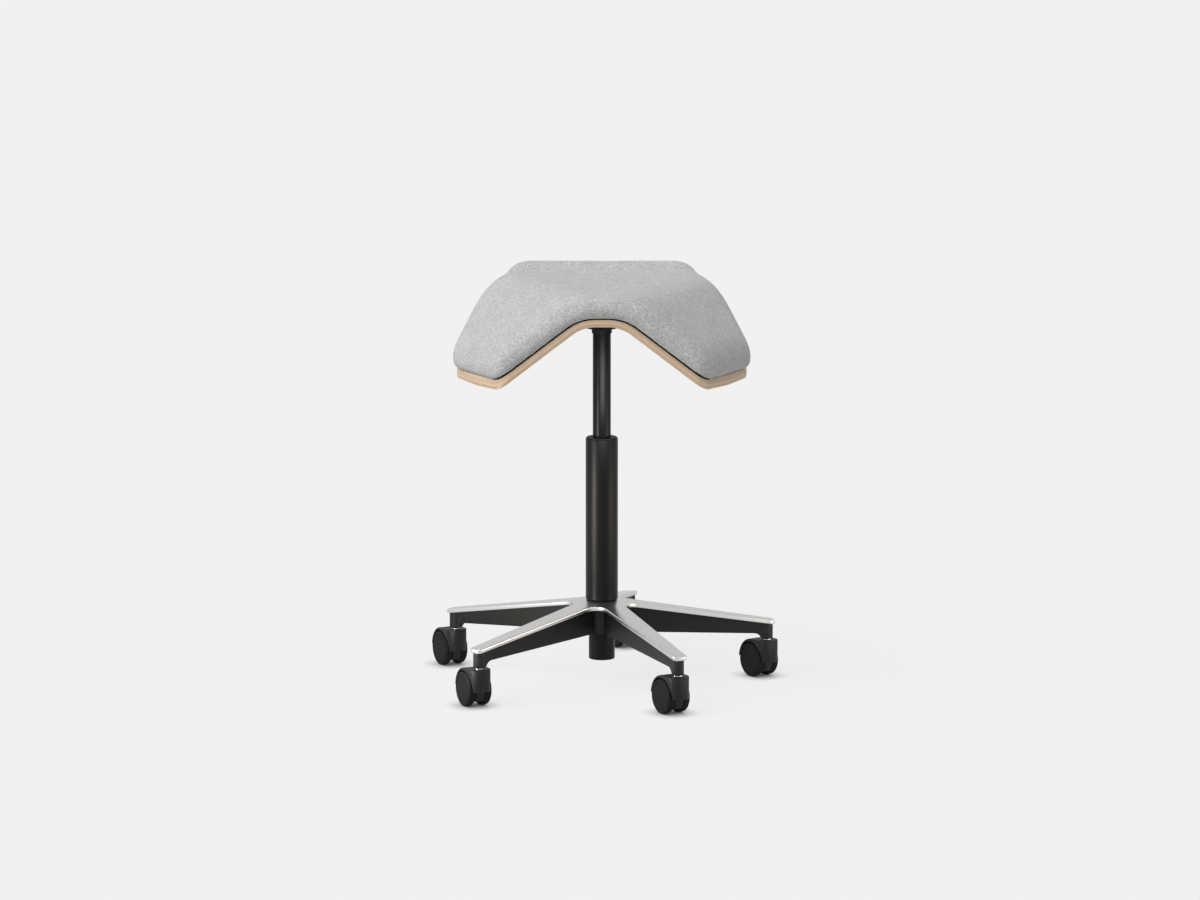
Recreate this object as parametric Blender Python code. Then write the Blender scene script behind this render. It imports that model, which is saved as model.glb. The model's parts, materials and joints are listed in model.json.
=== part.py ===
# Height-adjustable saddle stool: folded plywood seat with a felt pad, gas column, five-arm base and castors.
# Metres, +Z up. The origin is on the floor under the column, and the seat's front faces -Y.

import math

import bmesh
import bpy
from mathutils import Matrix

# Clearances
GAP = 0.0003                    # between pieces that touch
SKIN_GAP = 0.0005               # between the layers of the folded seat
CUT_OVERRUN = 0.002             # how far a cutter reaches past the face that it opens

# Castors
WHEEL_RADIUS = 0.027
WHEEL_WIDTH = 0.014
WHEEL_CHAMFER = 0.0018
WHEEL_INNER_ROUNDING = 0.0055   # tread to the wheel's inner face
WHEEL_STEPS = 20
WHEEL_SPACING = 0.010           # between the two wheels of a castor
WHEEL_SIDE_GAP = 0.0012         # wheel to the hood's middle web
AXLE_RADIUS = 0.003
AXLE_DEPTH = 0.009              # how far the axle reaches into each wheel
HOOD_RUNNING_GAP = 0.0015       # wheel tread to hood
HOOD_WALL = 0.0018
HOOD_CROWN = 0.003              # extra thickness at the hood's top
HOOD_NOSE = 0.0155              # stem axis to the hood's front
HOOD_NOSE_ROUNDING = 0.0155
HOOD_NOSE_EDGE = 0.002
HOOD_SIDE_INSET = 0.0018        # wheel's outer face past the hood's side
HOOD_SKIRT_DROP = 0.0005        # axle to the hood's lower front edge
HOOD_WEB_DROP = 0.0165          # axle to the web's lower edge
HOOD_WEB_INSET = 0.0022         # wheel tread past the web's front edge
HOOD_TAIL_ANGLE = math.radians(5)
CASTOR_TRAIL = 0.0207
CASTOR_YAWS = (30.5, 34, 29, 27, 26)    # degrees, the way each castor was left standing
STEM_RADIUS = 0.0055
STEM_COLLAR_RADIUS = 0.0075
STEM_COLLAR_HEIGHT = 0.002
STEM_HOOD_DEPTH = 0.016         # stem inside the hood
STEM_SOCKET_DEPTH = 0.022       # stem inside the base

# Base
ARM_COUNT = 5
FIRST_ARM_ANGLE = math.radians(-63.77)
CASTOR_CIRCLE_RADIUS = 0.26035
ARM_OVERHANG = 0.0112           # stem axis to the arm's tip
ARM_TIP_HALF_WIDTH = 0.0112
ARM_ROOT_HALF_WIDTH = 0.0187
ARM_TIP_ROUNDING = 0.007
ARM_VALLEY_ROUNDING = 0.0217
ARM_PITCH = math.radians(9.2)   # fall of the arm towards its tip
FLANGE_THICKNESS = 0.006
SOCKET_HEIGHT = 0.0312          # socket's lower end to the arm's top
SOCKET_RADIUS = 0.0092
RIB_THICKNESS = 0.013
RIB_TIP_DEPTH = 0.0235          # arm's top to the rib's lower edge near the socket
RIB_FILLET = 0.012
HUB_RADIUS = 0.0232
HUB_HEIGHT = 0.051

# Column
STAND_TUBE_RADIUS = 0.025
STAND_TUBE_WALL = 0.0018
STAND_TUBE_LENGTH = 0.252       # above its shoulder
STAND_SHOULDER_GAP = 0.0012     # shoulder above the base
SPIGOT_TOP_RADIUS = 0.0222
SPIGOT_RADIUS = 0.0202
SPIGOT_TAPER = 0.052            # length of the taper in the hub
SPIGOT_LENGTH = 0.0946
STAND_FLOOR_RECESS = 0.006      # rim below the stand tube's floor
STAND_FLOOR_THICKNESS = 0.003
BUSH_LENGTH = 0.080
BUSH_LIP_RADIUS = 0.0238
BUSH_LIP_HEIGHT = 0.0018
LIFT_TUBE_RADIUS = 0.014
LIFT_TUBE_WALL = 0.002
LIFT_EXPOSED = 0.1645           # tube that shows between the stand and the seat's collar
LIFT_DOWN = 0.145
LIFT_STOP_GAP = 0.004
LIFT_UP = 0.055
LIFT_TAPER = 0.0007             # how much the tube's top narrows in its socket
LIFT_CAP = 0.006
LIFT_LIP = 0.0015
VALVE_LENGTH = 0.018
GLAND_LENGTH = 0.014
ROD_RADIUS = 0.005
ROD_FOOT_RADIUS = 0.004
CLIP_RADIUS = 0.009
CLIP_THICKNESS = 0.0016
CLIP_GROOVE = 0.0008
RACE_RADIUS = 0.011
RACE_THICKNESS = 0.002
CAGE_THICKNESS = 0.003
BUMP_RADIUS = 0.0115
BUMP_HEIGHT = 0.018
PISTON_HEIGHT = 0.014
PISTON_RING_DEPTH = 0.0014
PISTON_RING_HEIGHT = 0.004
PISTON_NUT_HEIGHT = 0.005
PISTON_NUT_RADIUS = 0.0075
PISTON_STOP_GAP = 0.006

# Seat plate and release
COLLAR_RADIUS = 0.0155
COLLAR_HEIGHT = 0.0078
HOUSING_RADIUS = 0.028
HOUSING_HEIGHT = 0.0182
HOUSING_CHAMFER = 0.004
PLATE_WIDTH = 0.080
PLATE_LENGTH = 0.120
PLATE_CENTRE_Y = 0.005
PLATE_THICKNESS = 0.004
PLATE_ROUNDING = 0.010
SOCKET_REACH = 0.0173           # lift tube inside the collar and the housing
SCREW_SPACING_X = 0.056
SCREW_SPACING_Y = 0.094
SCREW_RADIUS = 0.003
SCREW_HEAD_RADIUS = 0.0055
SCREW_HEAD_HEIGHT = 0.0035
SCREW_SOCKET_RADIUS = 0.0024
SCREW_SOCKET_DEPTH = 0.002
TEE_NUT_BARREL_RADIUS = 0.0042
TEE_NUT_FLANGE_RADIUS = 0.008
TEE_NUT_FLANGE_THICKNESS = 0.0014
TEE_NUT_LENGTH = 0.009
PIN_RADIUS = 0.0025
PIN_TIP_RADIUS = 0.0018
PIN_REACH = 0.004               # release pin above the lift tube
PIN_LENGTH = 0.016
LEVER_PIVOT_X = -0.018
LEVER_PIN_RADIUS = 0.002
LEVER_PIN_LENGTH = 0.034
LEVER_EYE_RADIUS = 0.0042
LEVER_THICKNESS = 0.0045
LEVER_WIDTH = 0.008
LEVER_SIDE_GAP = 0.0008
LEVER_TAIL = 0.0015             # lever past the column's axis
LEVER_LEVEL_RUN = 0.027         # pivot to the lever's bend
LEVER_DROP_ANGLE = math.radians(31)
LEVER_DROP_RUN = 0.072          # along the slope, from the bend to the bar's end
GRIP_LENGTH = 0.046
GRIP_WIDTH = 0.026
GRIP_THICKNESS = 0.010
GRIP_ROUNDING = 0.003
GRIP_SLOT_DEPTH = 0.030

# Seat: a flat middle, two wings folded down along lines that spread to the rear, and a rear lip bent up
PLY_THICKNESS = 0.0116
PLY_EDGE_ROUNDING = 0.003
FOLD_RADIUS = 0.060
FOLD_ANGLE = math.radians(40)
FOLD_SPREAD = math.radians(24.6)
FOLD_START = 0.0082             # half width of the flat middle at the front edge
LIP_RADIUS = 0.060
LIP_ANGLE = math.radians(36.5)
LIP_LENGTH = 0.0372             # in plan, in front of the rear edge
SEAT_FRONT_Y = -0.150
SEAT_REAR_Y = 0.1645
FRONT_CORNER_X = 0.1571
FRONT_CORNER_ROUNDING = 0.026
SIDE_CORNER_X = 0.2256
SIDE_CORNER_Y = -0.0077
SIDE_CORNER_ROUNDING = 0.032
HIP_CORNER_X = 0.1909
HIP_CORNER_Y = 0.0818
HIP_CORNER_ROUNDING = 0.060
REAR_CORNER_X = 0.1343
REAR_CORNER_ROUNDING = 0.028
BOARD_THICKNESS = 0.0010
BOARD_INSET = 0.002
PAD_HEIGHT = 0.0344             # plywood to the pad's top
PAD_BULGE = 0.0063              # how far the pad's side stands out past the plywood
PAD_BULGE_LOW = 0.0080          # height range of the pad's widest part
PAD_BULGE_HIGH = 0.0152
PAD_ROUNDING = 0.022
PAD_RIM_INSET = 0.0008
PAD_CROWN = 0.002
COVER_THICKNESS = 0.002

# Facets
COLUMN_STEPS = 24
SMALL_STEPS = 12
CORNER_STEPS = 4
TWO_PI = 2 * math.pi

# Heights that follow from the sizes, floor upwards
AXLE_Z = WHEEL_RADIUS * math.cos(math.pi / WHEEL_STEPS)
HOOD_RADIUS = WHEEL_RADIUS + HOOD_RUNNING_GAP + HOOD_WALL + HOOD_CROWN
HOOD_TOP_Z = AXLE_Z + HOOD_RADIUS
COLLAR_LOW_Z = HOOD_TOP_Z + GAP
SOCKET_LOW_Z = COLLAR_LOW_Z + STEM_COLLAR_HEIGHT + GAP
ARM_TOP_Z = SOCKET_LOW_Z + SOCKET_HEIGHT


def arm_top(radius):
    return ARM_TOP_Z + math.tan(ARM_PITCH) * (CASTOR_CIRCLE_RADIUS - radius)


SHOULDER_Z = arm_top(SPIGOT_TOP_RADIUS) + STAND_SHOULDER_GAP
STAND_TOP_Z = SHOULDER_Z + STAND_TUBE_LENGTH
HUB_LOW_Z = arm_top(SPIGOT_TOP_RADIUS) - HUB_HEIGHT
STAND_LOW_Z = SHOULDER_Z - SPIGOT_LENGTH
STAND_FLOOR_Z = STAND_LOW_Z + STAND_FLOOR_RECESS
LOWER_RACE_Z = STAND_FLOOR_Z + STAND_FLOOR_THICKNESS + GAP
CAGE_Z = LOWER_RACE_Z + RACE_THICKNESS + GAP
UPPER_RACE_Z = CAGE_Z + CAGE_THICKNESS + GAP
ROD_SHOULDER_Z = UPPER_RACE_Z + RACE_THICKNESS + GAP
BUMP_TOP_Z = ROD_SHOULDER_Z + BUMP_HEIGHT
LIFT_LOW_Z = BUMP_TOP_Z + LIFT_STOP_GAP + LIFT_DOWN
GLAND_Z = LIFT_LOW_Z + LIFT_LIP + GAP
PISTON_Z = GLAND_Z + GLAND_LENGTH + LIFT_UP + PISTON_STOP_GAP
COLLAR_Z = STAND_TOP_Z + LIFT_EXPOSED
HOUSING_Z = COLLAR_Z + COLLAR_HEIGHT
PLATE_Z = HOUSING_Z + HOUSING_HEIGHT
PLATE_TOP_Z = PLATE_Z + PLATE_THICKNESS
LIFT_TOP_Z = COLLAR_Z + SOCKET_REACH
PIN_TOP_Z = LIFT_TOP_Z + PIN_REACH
LEVER_Z = PIN_TOP_Z + GAP + LEVER_THICKNESS / 2
SEAT_Z = PLATE_TOP_Z + GAP + PLY_THICKNESS
LIFT_BORE = LIFT_TUBE_RADIUS - LIFT_TUBE_WALL
STAND_BORE = STAND_TUBE_RADIUS - STAND_TUBE_WALL

# Colour, roughness and metallic value of each finish
FINISHES = {
    "felt": ((0.60, 0.60, 0.59), 0.95, 0.0),
    "foam": ((0.75, 0.72, 0.62), 0.95, 0.0),
    "black_board": ((0.02, 0.02, 0.02), 0.8, 0.0),
    "plywood": ((0.68, 0.51, 0.35), 0.55, 0.0),
    "black_metal": ((0.03, 0.03, 0.03), 0.4, 0.6),
    "aluminium": ((0.80, 0.80, 0.80), 0.25, 1.0),
    "steel": ((0.60, 0.60, 0.60), 0.3, 1.0),
    "black_plastic": ((0.025, 0.025, 0.027), 0.5, 0.0),
    "rubber": ((0.02, 0.02, 0.02), 0.8, 0.0),
}


def clear_scene():
    for old in list(bpy.data.objects):
        bpy.data.objects.remove(old, do_unlink=True)


def finish_material(name):
    colour, roughness, metallic = FINISHES[name]
    material = bpy.data.materials.get(name) or bpy.data.materials.new(name)
    material.use_nodes = True
    shader = material.node_tree.nodes["Principled BSDF"]
    shader.inputs["Base Color"].default_value = (*colour, 1.0)
    shader.inputs["Roughness"].default_value = roughness
    shader.inputs["Metallic"].default_value = metallic
    return material


def add_piece(name, bm, finish, parent=None, location=(0, 0, 0), turn=0.0):
    bmesh.ops.recalc_face_normals(bm, faces=bm.faces)
    mesh = bpy.data.meshes.new(name)
    bm.to_mesh(mesh)
    bm.free()
    mesh.shade_smooth()
    mesh.set_sharp_from_angle(angle=math.radians(30))
    mesh.materials.append(finish_material(finish))
    piece = bpy.data.objects.new(name, mesh)
    bpy.context.scene.collection.objects.link(piece)
    piece.parent = parent
    piece.location = location
    piece.rotation_euler = (0, turn, 0)
    return piece


def add_pivot(name, location, yaw=0.0):
    pivot = bpy.data.objects.new(name, None)
    bpy.context.scene.collection.objects.link(pivot)
    pivot.location = location
    pivot.rotation_euler = (0, 0, yaw)
    return pivot


def combine(piece, bm, operation, name, parent=None, location=(0, 0, 0), turn=0.0):
    tool = add_piece(name, bm, "steel", parent, location, turn)
    tool.hide_render = True
    tool.display_type = "WIRE"
    step = piece.modifiers.new(name, "BOOLEAN")
    step.operation = operation
    step.solver = "EXACT"
    step.object = tool


def turned(profile, steps, closed=True):
    """Solid of revolution about Z. A closed profile is a ring, an open one starts and ends on the axis."""
    bm = bmesh.new()
    verts = [bm.verts.new((radius, 0, z)) for radius, z in profile]
    edges = [bm.edges.new(pair) for pair in zip(verts, verts[1:])]
    if closed:
        edges.append(bm.edges.new((verts[-1], verts[0])))
    bmesh.ops.spin(bm, geom=verts + edges, cent=(0, 0, 0), axis=(0, 0, 1), angle=TWO_PI, steps=steps,
                   use_merge=True)
    bmesh.ops.remove_doubles(bm, verts=bm.verts, dist=1e-6)
    on_axis = [vert for vert in bm.verts if vert.co.xy.length < 1e-6]
    bmesh.ops.dissolve_verts(bm, verts=on_axis)
    return bm


def cylinder(radius, low, high, steps):
    return turned([(0, low), (radius, low), (radius, high), (0, high)], steps, closed=False)


def ring(inner, outer, low, high, steps):
    return turned([(inner, low), (outer, low), (outer, high), (inner, high)], steps)


def prism(outline, low, high):
    """Outline in X and Y, extruded along Z."""
    bm = bmesh.new()
    face = bm.faces.new([bm.verts.new((x, y, low)) for x, y in outline])
    grown = bmesh.ops.extrude_face_region(bm, geom=[face])
    risen = [item for item in grown["geom"] if isinstance(item, bmesh.types.BMVert)]
    bmesh.ops.translate(bm, verts=risen, vec=(0, 0, high - low))
    return bm


def side_prism(outline, half_width):
    """Outline in X and Z, extruded along Y."""
    bm = prism(outline, -half_width, half_width)
    bmesh.ops.rotate(bm, verts=bm.verts, cent=(0, 0, 0), matrix=Matrix.Rotation(math.pi / 2, 3, "X"))
    return bm


def laid(bm, axis):
    """Turns a piece that was made along Z so that it lies along X or Y."""
    spin = ("Y", math.pi / 2) if axis == "X" else ("X", -math.pi / 2)
    bmesh.ops.rotate(bm, verts=bm.verts, cent=(0, 0, 0), matrix=Matrix.Rotation(spin[1], 3, spin[0]))
    return bm


def rounded_outline(corners, steps):
    """Corners are (x, y, radius), in order round the outline."""
    points = []
    count = len(corners)
    for index, (x, y, radius) in enumerate(corners):
        before = corners[index - 1]
        after = corners[(index + 1) % count]
        back = (before[0] - x, before[1] - y)
        ahead = (after[0] - x, after[1] - y)
        back_angle = math.atan2(back[1], back[0])
        ahead_angle = math.atan2(ahead[1], ahead[0])
        bend = (ahead_angle - back_angle + math.pi) % TWO_PI - math.pi
        middle = back_angle + bend / 2
        reach = radius / math.sin(abs(bend) / 2)
        centre = (x + reach * math.cos(middle), y + reach * math.sin(middle))
        sweep = math.copysign(math.pi - abs(bend), bend)
        for step in range(steps + 1):
            angle = middle + math.pi + sweep * (0.5 - step / steps)
            points.append((centre[0] + radius * math.cos(angle), centre[1] + radius * math.sin(angle)))
    return points


def arc(centre, radius, start, end, steps):
    angles = [start + (end - start) * step / steps for step in range(steps + 1)]
    return [(centre[0] + radius * math.cos(angle), centre[1] + radius * math.sin(angle)) for angle in angles]


def circle_point(radius, angle):
    return radius * math.cos(angle), radius * math.sin(angle)


def arm_angles():
    return [FIRST_ARM_ANGLE + index * TWO_PI / ARM_COUNT for index in range(ARM_COUNT)]


def turned_point(x, y, angle):
    return x * math.cos(angle) - y * math.sin(angle), x * math.sin(angle) + y * math.cos(angle)


def star_outline():
    half_step = math.pi / ARM_COUNT
    tip = CASTOR_CIRCLE_RADIUS + ARM_OVERHANG
    corners = []
    for angle in arm_angles():
        valley = circle_point(ARM_ROOT_HALF_WIDTH / math.sin(half_step), angle - half_step)
        corners.append((*valley, ARM_VALLEY_ROUNDING))
        corners.append((*turned_point(tip, -ARM_TIP_HALF_WIDTH, angle), ARM_TIP_ROUNDING))
        corners.append((*turned_point(tip, ARM_TIP_HALF_WIDTH, angle), ARM_TIP_ROUNDING))
    return rounded_outline(corners, CORNER_STEPS)


def star_flange():
    bm = bmesh.new()
    outline = star_outline()
    layers = []
    for drop in (0, FLANGE_THICKNESS):
        middle = bm.verts.new((0, 0, arm_top(0) - drop))
        rim = [bm.verts.new((x, y, arm_top(math.hypot(x, y)) - drop)) for x, y in outline]
        layers.append((middle, rim))
    (top_middle, top), (low_middle, low) = layers
    for index in range(len(outline)):
        ahead = (index + 1) % len(outline)
        bm.faces.new((top_middle, top[index], top[ahead]))
        bm.faces.new((low_middle, low[ahead], low[index]))
        bm.faces.new((top[index], low[index], low[ahead], top[ahead]))
    return bm


def rib_outline():
    """Side view of one rib: X along the arm from the column's axis, Z up."""
    socket_face = CASTOR_CIRCLE_RADIUS - SOCKET_RADIUS
    tip_low = arm_top(socket_face) - RIB_TIP_DEPTH
    bury = FLANGE_THICKNESS / 2
    fillet = arc((socket_face - RIB_FILLET, tip_low - RIB_FILLET), RIB_FILLET, math.pi / 2, 0, 4)
    fillet = [(x, z) for x, z in fillet if z > SOCKET_LOW_Z + GAP]
    socket_low = max(SOCKET_LOW_Z + GAP, tip_low - RIB_FILLET)
    return [(0, HUB_LOW_Z + GAP), *fillet, (socket_face + SOCKET_RADIUS / 2, socket_low),
            (CASTOR_CIRCLE_RADIUS, arm_top(CASTOR_CIRCLE_RADIUS) - bury), (0, arm_top(0) - bury)]


def spigot_profile(grow):
    """Outer side of the stand tube's lower end, top to bottom, grown by a clearance."""
    taper_top = arm_top(SPIGOT_TOP_RADIUS)
    return [(SPIGOT_TOP_RADIUS + grow, taper_top), (SPIGOT_RADIUS + grow, taper_top - SPIGOT_TAPER)]


def make_base():
    base = add_piece("star_base", star_flange(), "aluminium")
    hub = cylinder(HUB_RADIUS, HUB_LOW_Z, arm_top(HUB_RADIUS) - FLANGE_THICKNESS / 3, COLUMN_STEPS)
    combine(base, hub, "UNION", "base_hub")
    for number, angle in enumerate(arm_angles(), 1):
        rib = side_prism(rib_outline(), RIB_THICKNESS / 2)
        bmesh.ops.rotate(rib, verts=rib.verts, cent=(0, 0, 0), matrix=Matrix.Rotation(angle, 3, "Z"))
        combine(base, rib, "UNION", f"base_rib_{number}")
        place = (*circle_point(CASTOR_CIRCLE_RADIUS, angle), 0)
        socket = cylinder(SOCKET_RADIUS, SOCKET_LOW_Z, ARM_TOP_Z - 2 * FLANGE_THICKNESS / 3, SMALL_STEPS)
        combine(base, socket, "UNION", f"base_socket_{number}", location=place)
    for number, angle in enumerate(arm_angles(), 1):
        place = (*circle_point(CASTOR_CIRCLE_RADIUS, angle), 0)
        bore = cylinder(STEM_RADIUS + GAP, SOCKET_LOW_Z - CUT_OVERRUN, SOCKET_LOW_Z + STEM_SOCKET_DEPTH + GAP,
                        SMALL_STEPS)
        combine(base, bore, "DIFFERENCE", f"base_stem_bore_{number}", location=place)
    top, low = spigot_profile(GAP)
    bore = turned([(0, arm_top(0) + CUT_OVERRUN), (top[0], arm_top(0) + CUT_OVERRUN), top, low,
                   (low[0], HUB_LOW_Z - CUT_OVERRUN), (0, HUB_LOW_Z - CUT_OVERRUN)],
                  COLUMN_STEPS, closed=False)
    combine(base, bore, "DIFFERENCE", "base_column_bore")


def hood_outline():
    """Side view of the hood: X backwards from the stem, Z up."""
    crown_centre = (CASTOR_TRAIL - HOOD_CROWN, AXLE_Z)
    crown = arc(crown_centre, HOOD_RADIUS, HOOD_TAIL_ANGLE, math.pi / 2, 7)
    nose_centre = (-HOOD_NOSE + HOOD_NOSE_EDGE, HOOD_TOP_Z - HOOD_NOSE_EDGE)
    nose = arc(nose_centre, HOOD_NOSE_EDGE, math.pi / 2, math.pi, 2)
    skirt_low = AXLE_Z - HOOD_SKIRT_DROP
    web_low = AXLE_Z - HOOD_WEB_DROP
    web_radius = WHEEL_RADIUS - HOOD_WEB_INSET
    web_start = math.pi + math.asin(HOOD_SKIRT_DROP / web_radius)
    web_end = math.pi + math.asin(HOOD_WEB_DROP / web_radius)
    web = arc((CASTOR_TRAIL, AXLE_Z), web_radius, web_start, web_end, 3)
    return [*crown, *nose, (-HOOD_NOSE, skirt_low), *web, (CASTOR_TRAIL + HOOD_WEB_DROP / 2, web_low)]


def hood_plan():
    half = WHEEL_SPACING / 2 + WHEEL_WIDTH - HOOD_SIDE_INSET
    rear = CASTOR_TRAIL + HOOD_RADIUS + CUT_OVERRUN
    nose = -HOOD_NOSE
    corners = [(-half, nose, HOOD_NOSE_ROUNDING), (half, nose, HOOD_NOSE_ROUNDING), (half, rear, GAP),
               (-half, rear, GAP)]
    return rounded_outline(corners, CORNER_STEPS)


def make_hood(name, pivot):
    bm = side_prism(hood_outline(), WHEEL_SPACING / 2 + WHEEL_WIDTH + CUT_OVERRUN)
    bmesh.ops.rotate(bm, verts=bm.verts, cent=(0, 0, 0), matrix=Matrix.Rotation(math.pi / 2, 3, "Z"))
    hood = add_piece(name, bm, "black_plastic", pivot)
    combine(hood, prism(hood_plan(), 0, HOOD_TOP_Z + CUT_OVERRUN), "INTERSECT", f"{name}_plan", pivot)
    web = WHEEL_SPACING / 2 - WHEEL_SIDE_GAP
    reach = WHEEL_SPACING / 2 + WHEEL_WIDTH + 2 * CUT_OVERRUN
    place = (0, CASTOR_TRAIL, AXLE_Z)
    for side, sign in (("a", -1), ("b", 1)):
        space = laid(cylinder(WHEEL_RADIUS + HOOD_RUNNING_GAP, sign * web, sign * reach, COLUMN_STEPS), "X")
        combine(hood, space, "DIFFERENCE", f"{name}_space_{side}", pivot, place)
    axle_bore = laid(cylinder(AXLE_RADIUS + GAP, -reach, reach, SMALL_STEPS), "X")
    combine(hood, axle_bore, "DIFFERENCE", f"{name}_axle_bore", pivot, place)
    stem_low = HOOD_TOP_Z - STEM_HOOD_DEPTH - GAP
    stem_bore = cylinder(STEM_RADIUS + GAP, stem_low, HOOD_TOP_Z + CUT_OVERRUN, SMALL_STEPS)
    combine(hood, stem_bore, "DIFFERENCE", f"{name}_stem_bore", pivot)


def wheel_mesh(sign):
    """Wheel about X: inner face at zero, outer face towards sign, and a flat facet at the bottom."""
    bore = AXLE_RADIUS + GAP
    depth = AXLE_DEPTH + GAP
    edge = WHEEL_RADIUS - WHEEL_CHAMFER
    rounding = WHEEL_INNER_ROUNDING
    inner_edge = arc((WHEEL_RADIUS - rounding, rounding), rounding, -math.pi / 2, 0, 2)
    profile = [(0, depth), (bore, depth), (bore, 0), *inner_edge,
               (WHEEL_RADIUS, WHEEL_WIDTH - WHEEL_CHAMFER), (edge, WHEEL_WIDTH), (0, WHEEL_WIDTH)]
    bm = turned([(radius, sign * along) for radius, along in profile], WHEEL_STEPS, closed=False)
    laid(bm, "X")
    half_facet = math.pi / WHEEL_STEPS
    bmesh.ops.rotate(bm, verts=bm.verts, cent=(0, 0, 0), matrix=Matrix.Rotation(half_facet, 3, "X"))
    return bm


def make_castor(number, angle):
    yaw = math.radians(CASTOR_YAWS[(number - 1) % len(CASTOR_YAWS)])
    pivot = add_pivot(f"castor_{number}_pivot", (*circle_point(CASTOR_CIRCLE_RADIUS, angle), 0), yaw)
    make_hood(f"castor_{number}_hood", pivot)
    axle_centre = (0, CASTOR_TRAIL, AXLE_Z)
    axle_half = WHEEL_SPACING / 2 + AXLE_DEPTH
    axle = laid(cylinder(AXLE_RADIUS, -axle_half, axle_half, SMALL_STEPS), "X")
    add_piece(f"castor_{number}_axle", axle, "steel", pivot, axle_centre)
    for side, sign in (("a", -1), ("b", 1)):
        place = (sign * WHEEL_SPACING / 2, CASTOR_TRAIL, AXLE_Z)
        add_piece(f"castor_{number}_wheel_{side}", wheel_mesh(sign), "black_plastic", pivot, place)
    collar_top = COLLAR_LOW_Z + STEM_COLLAR_HEIGHT
    stem = turned([(0, HOOD_TOP_Z - STEM_HOOD_DEPTH), (STEM_RADIUS, HOOD_TOP_Z - STEM_HOOD_DEPTH),
                   (STEM_RADIUS, COLLAR_LOW_Z), (STEM_COLLAR_RADIUS, COLLAR_LOW_Z),
                   (STEM_COLLAR_RADIUS, collar_top), (STEM_RADIUS, collar_top),
                   (STEM_RADIUS, SOCKET_LOW_Z + STEM_SOCKET_DEPTH),
                   (0, SOCKET_LOW_Z + STEM_SOCKET_DEPTH)], SMALL_STEPS, closed=False)
    add_piece(f"castor_{number}_stem", stem, "steel", pivot)


def make_stand():
    top, low = spigot_profile(0)
    bore = SPIGOT_RADIUS - STAND_TUBE_WALL
    floor_top = STAND_FLOOR_Z + STAND_FLOOR_THICKNESS
    hole = ROD_FOOT_RADIUS + GAP
    tube = [(STAND_TUBE_RADIUS, STAND_TOP_Z), (STAND_TUBE_RADIUS, SHOULDER_Z), top, low,
            (SPIGOT_RADIUS, STAND_LOW_Z), (bore, STAND_LOW_Z), (bore, STAND_FLOOR_Z), (hole, STAND_FLOOR_Z),
            (hole, floor_top), (bore, floor_top), (bore, low[1]), (top[0] - STAND_TUBE_WALL, top[1]),
            (STAND_BORE, SHOULDER_Z + STAND_TUBE_WALL), (STAND_BORE, STAND_TOP_Z)]
    add_piece("stand_tube", turned(tube, COLUMN_STEPS), "black_metal")
    inner = LIFT_TUBE_RADIUS + GAP
    outer = STAND_BORE - GAP
    lip_low = STAND_TOP_Z + GAP
    lip_top = lip_low + BUSH_LIP_HEIGHT
    bush_low = STAND_TOP_Z - BUSH_LENGTH
    bush = [(inner, lip_top), (BUSH_LIP_RADIUS, lip_top), (BUSH_LIP_RADIUS, lip_low), (outer, lip_low),
            (outer, bush_low), (inner, bush_low)]
    add_piece("guide_bush", turned(bush, COLUMN_STEPS), "black_plastic")


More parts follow.
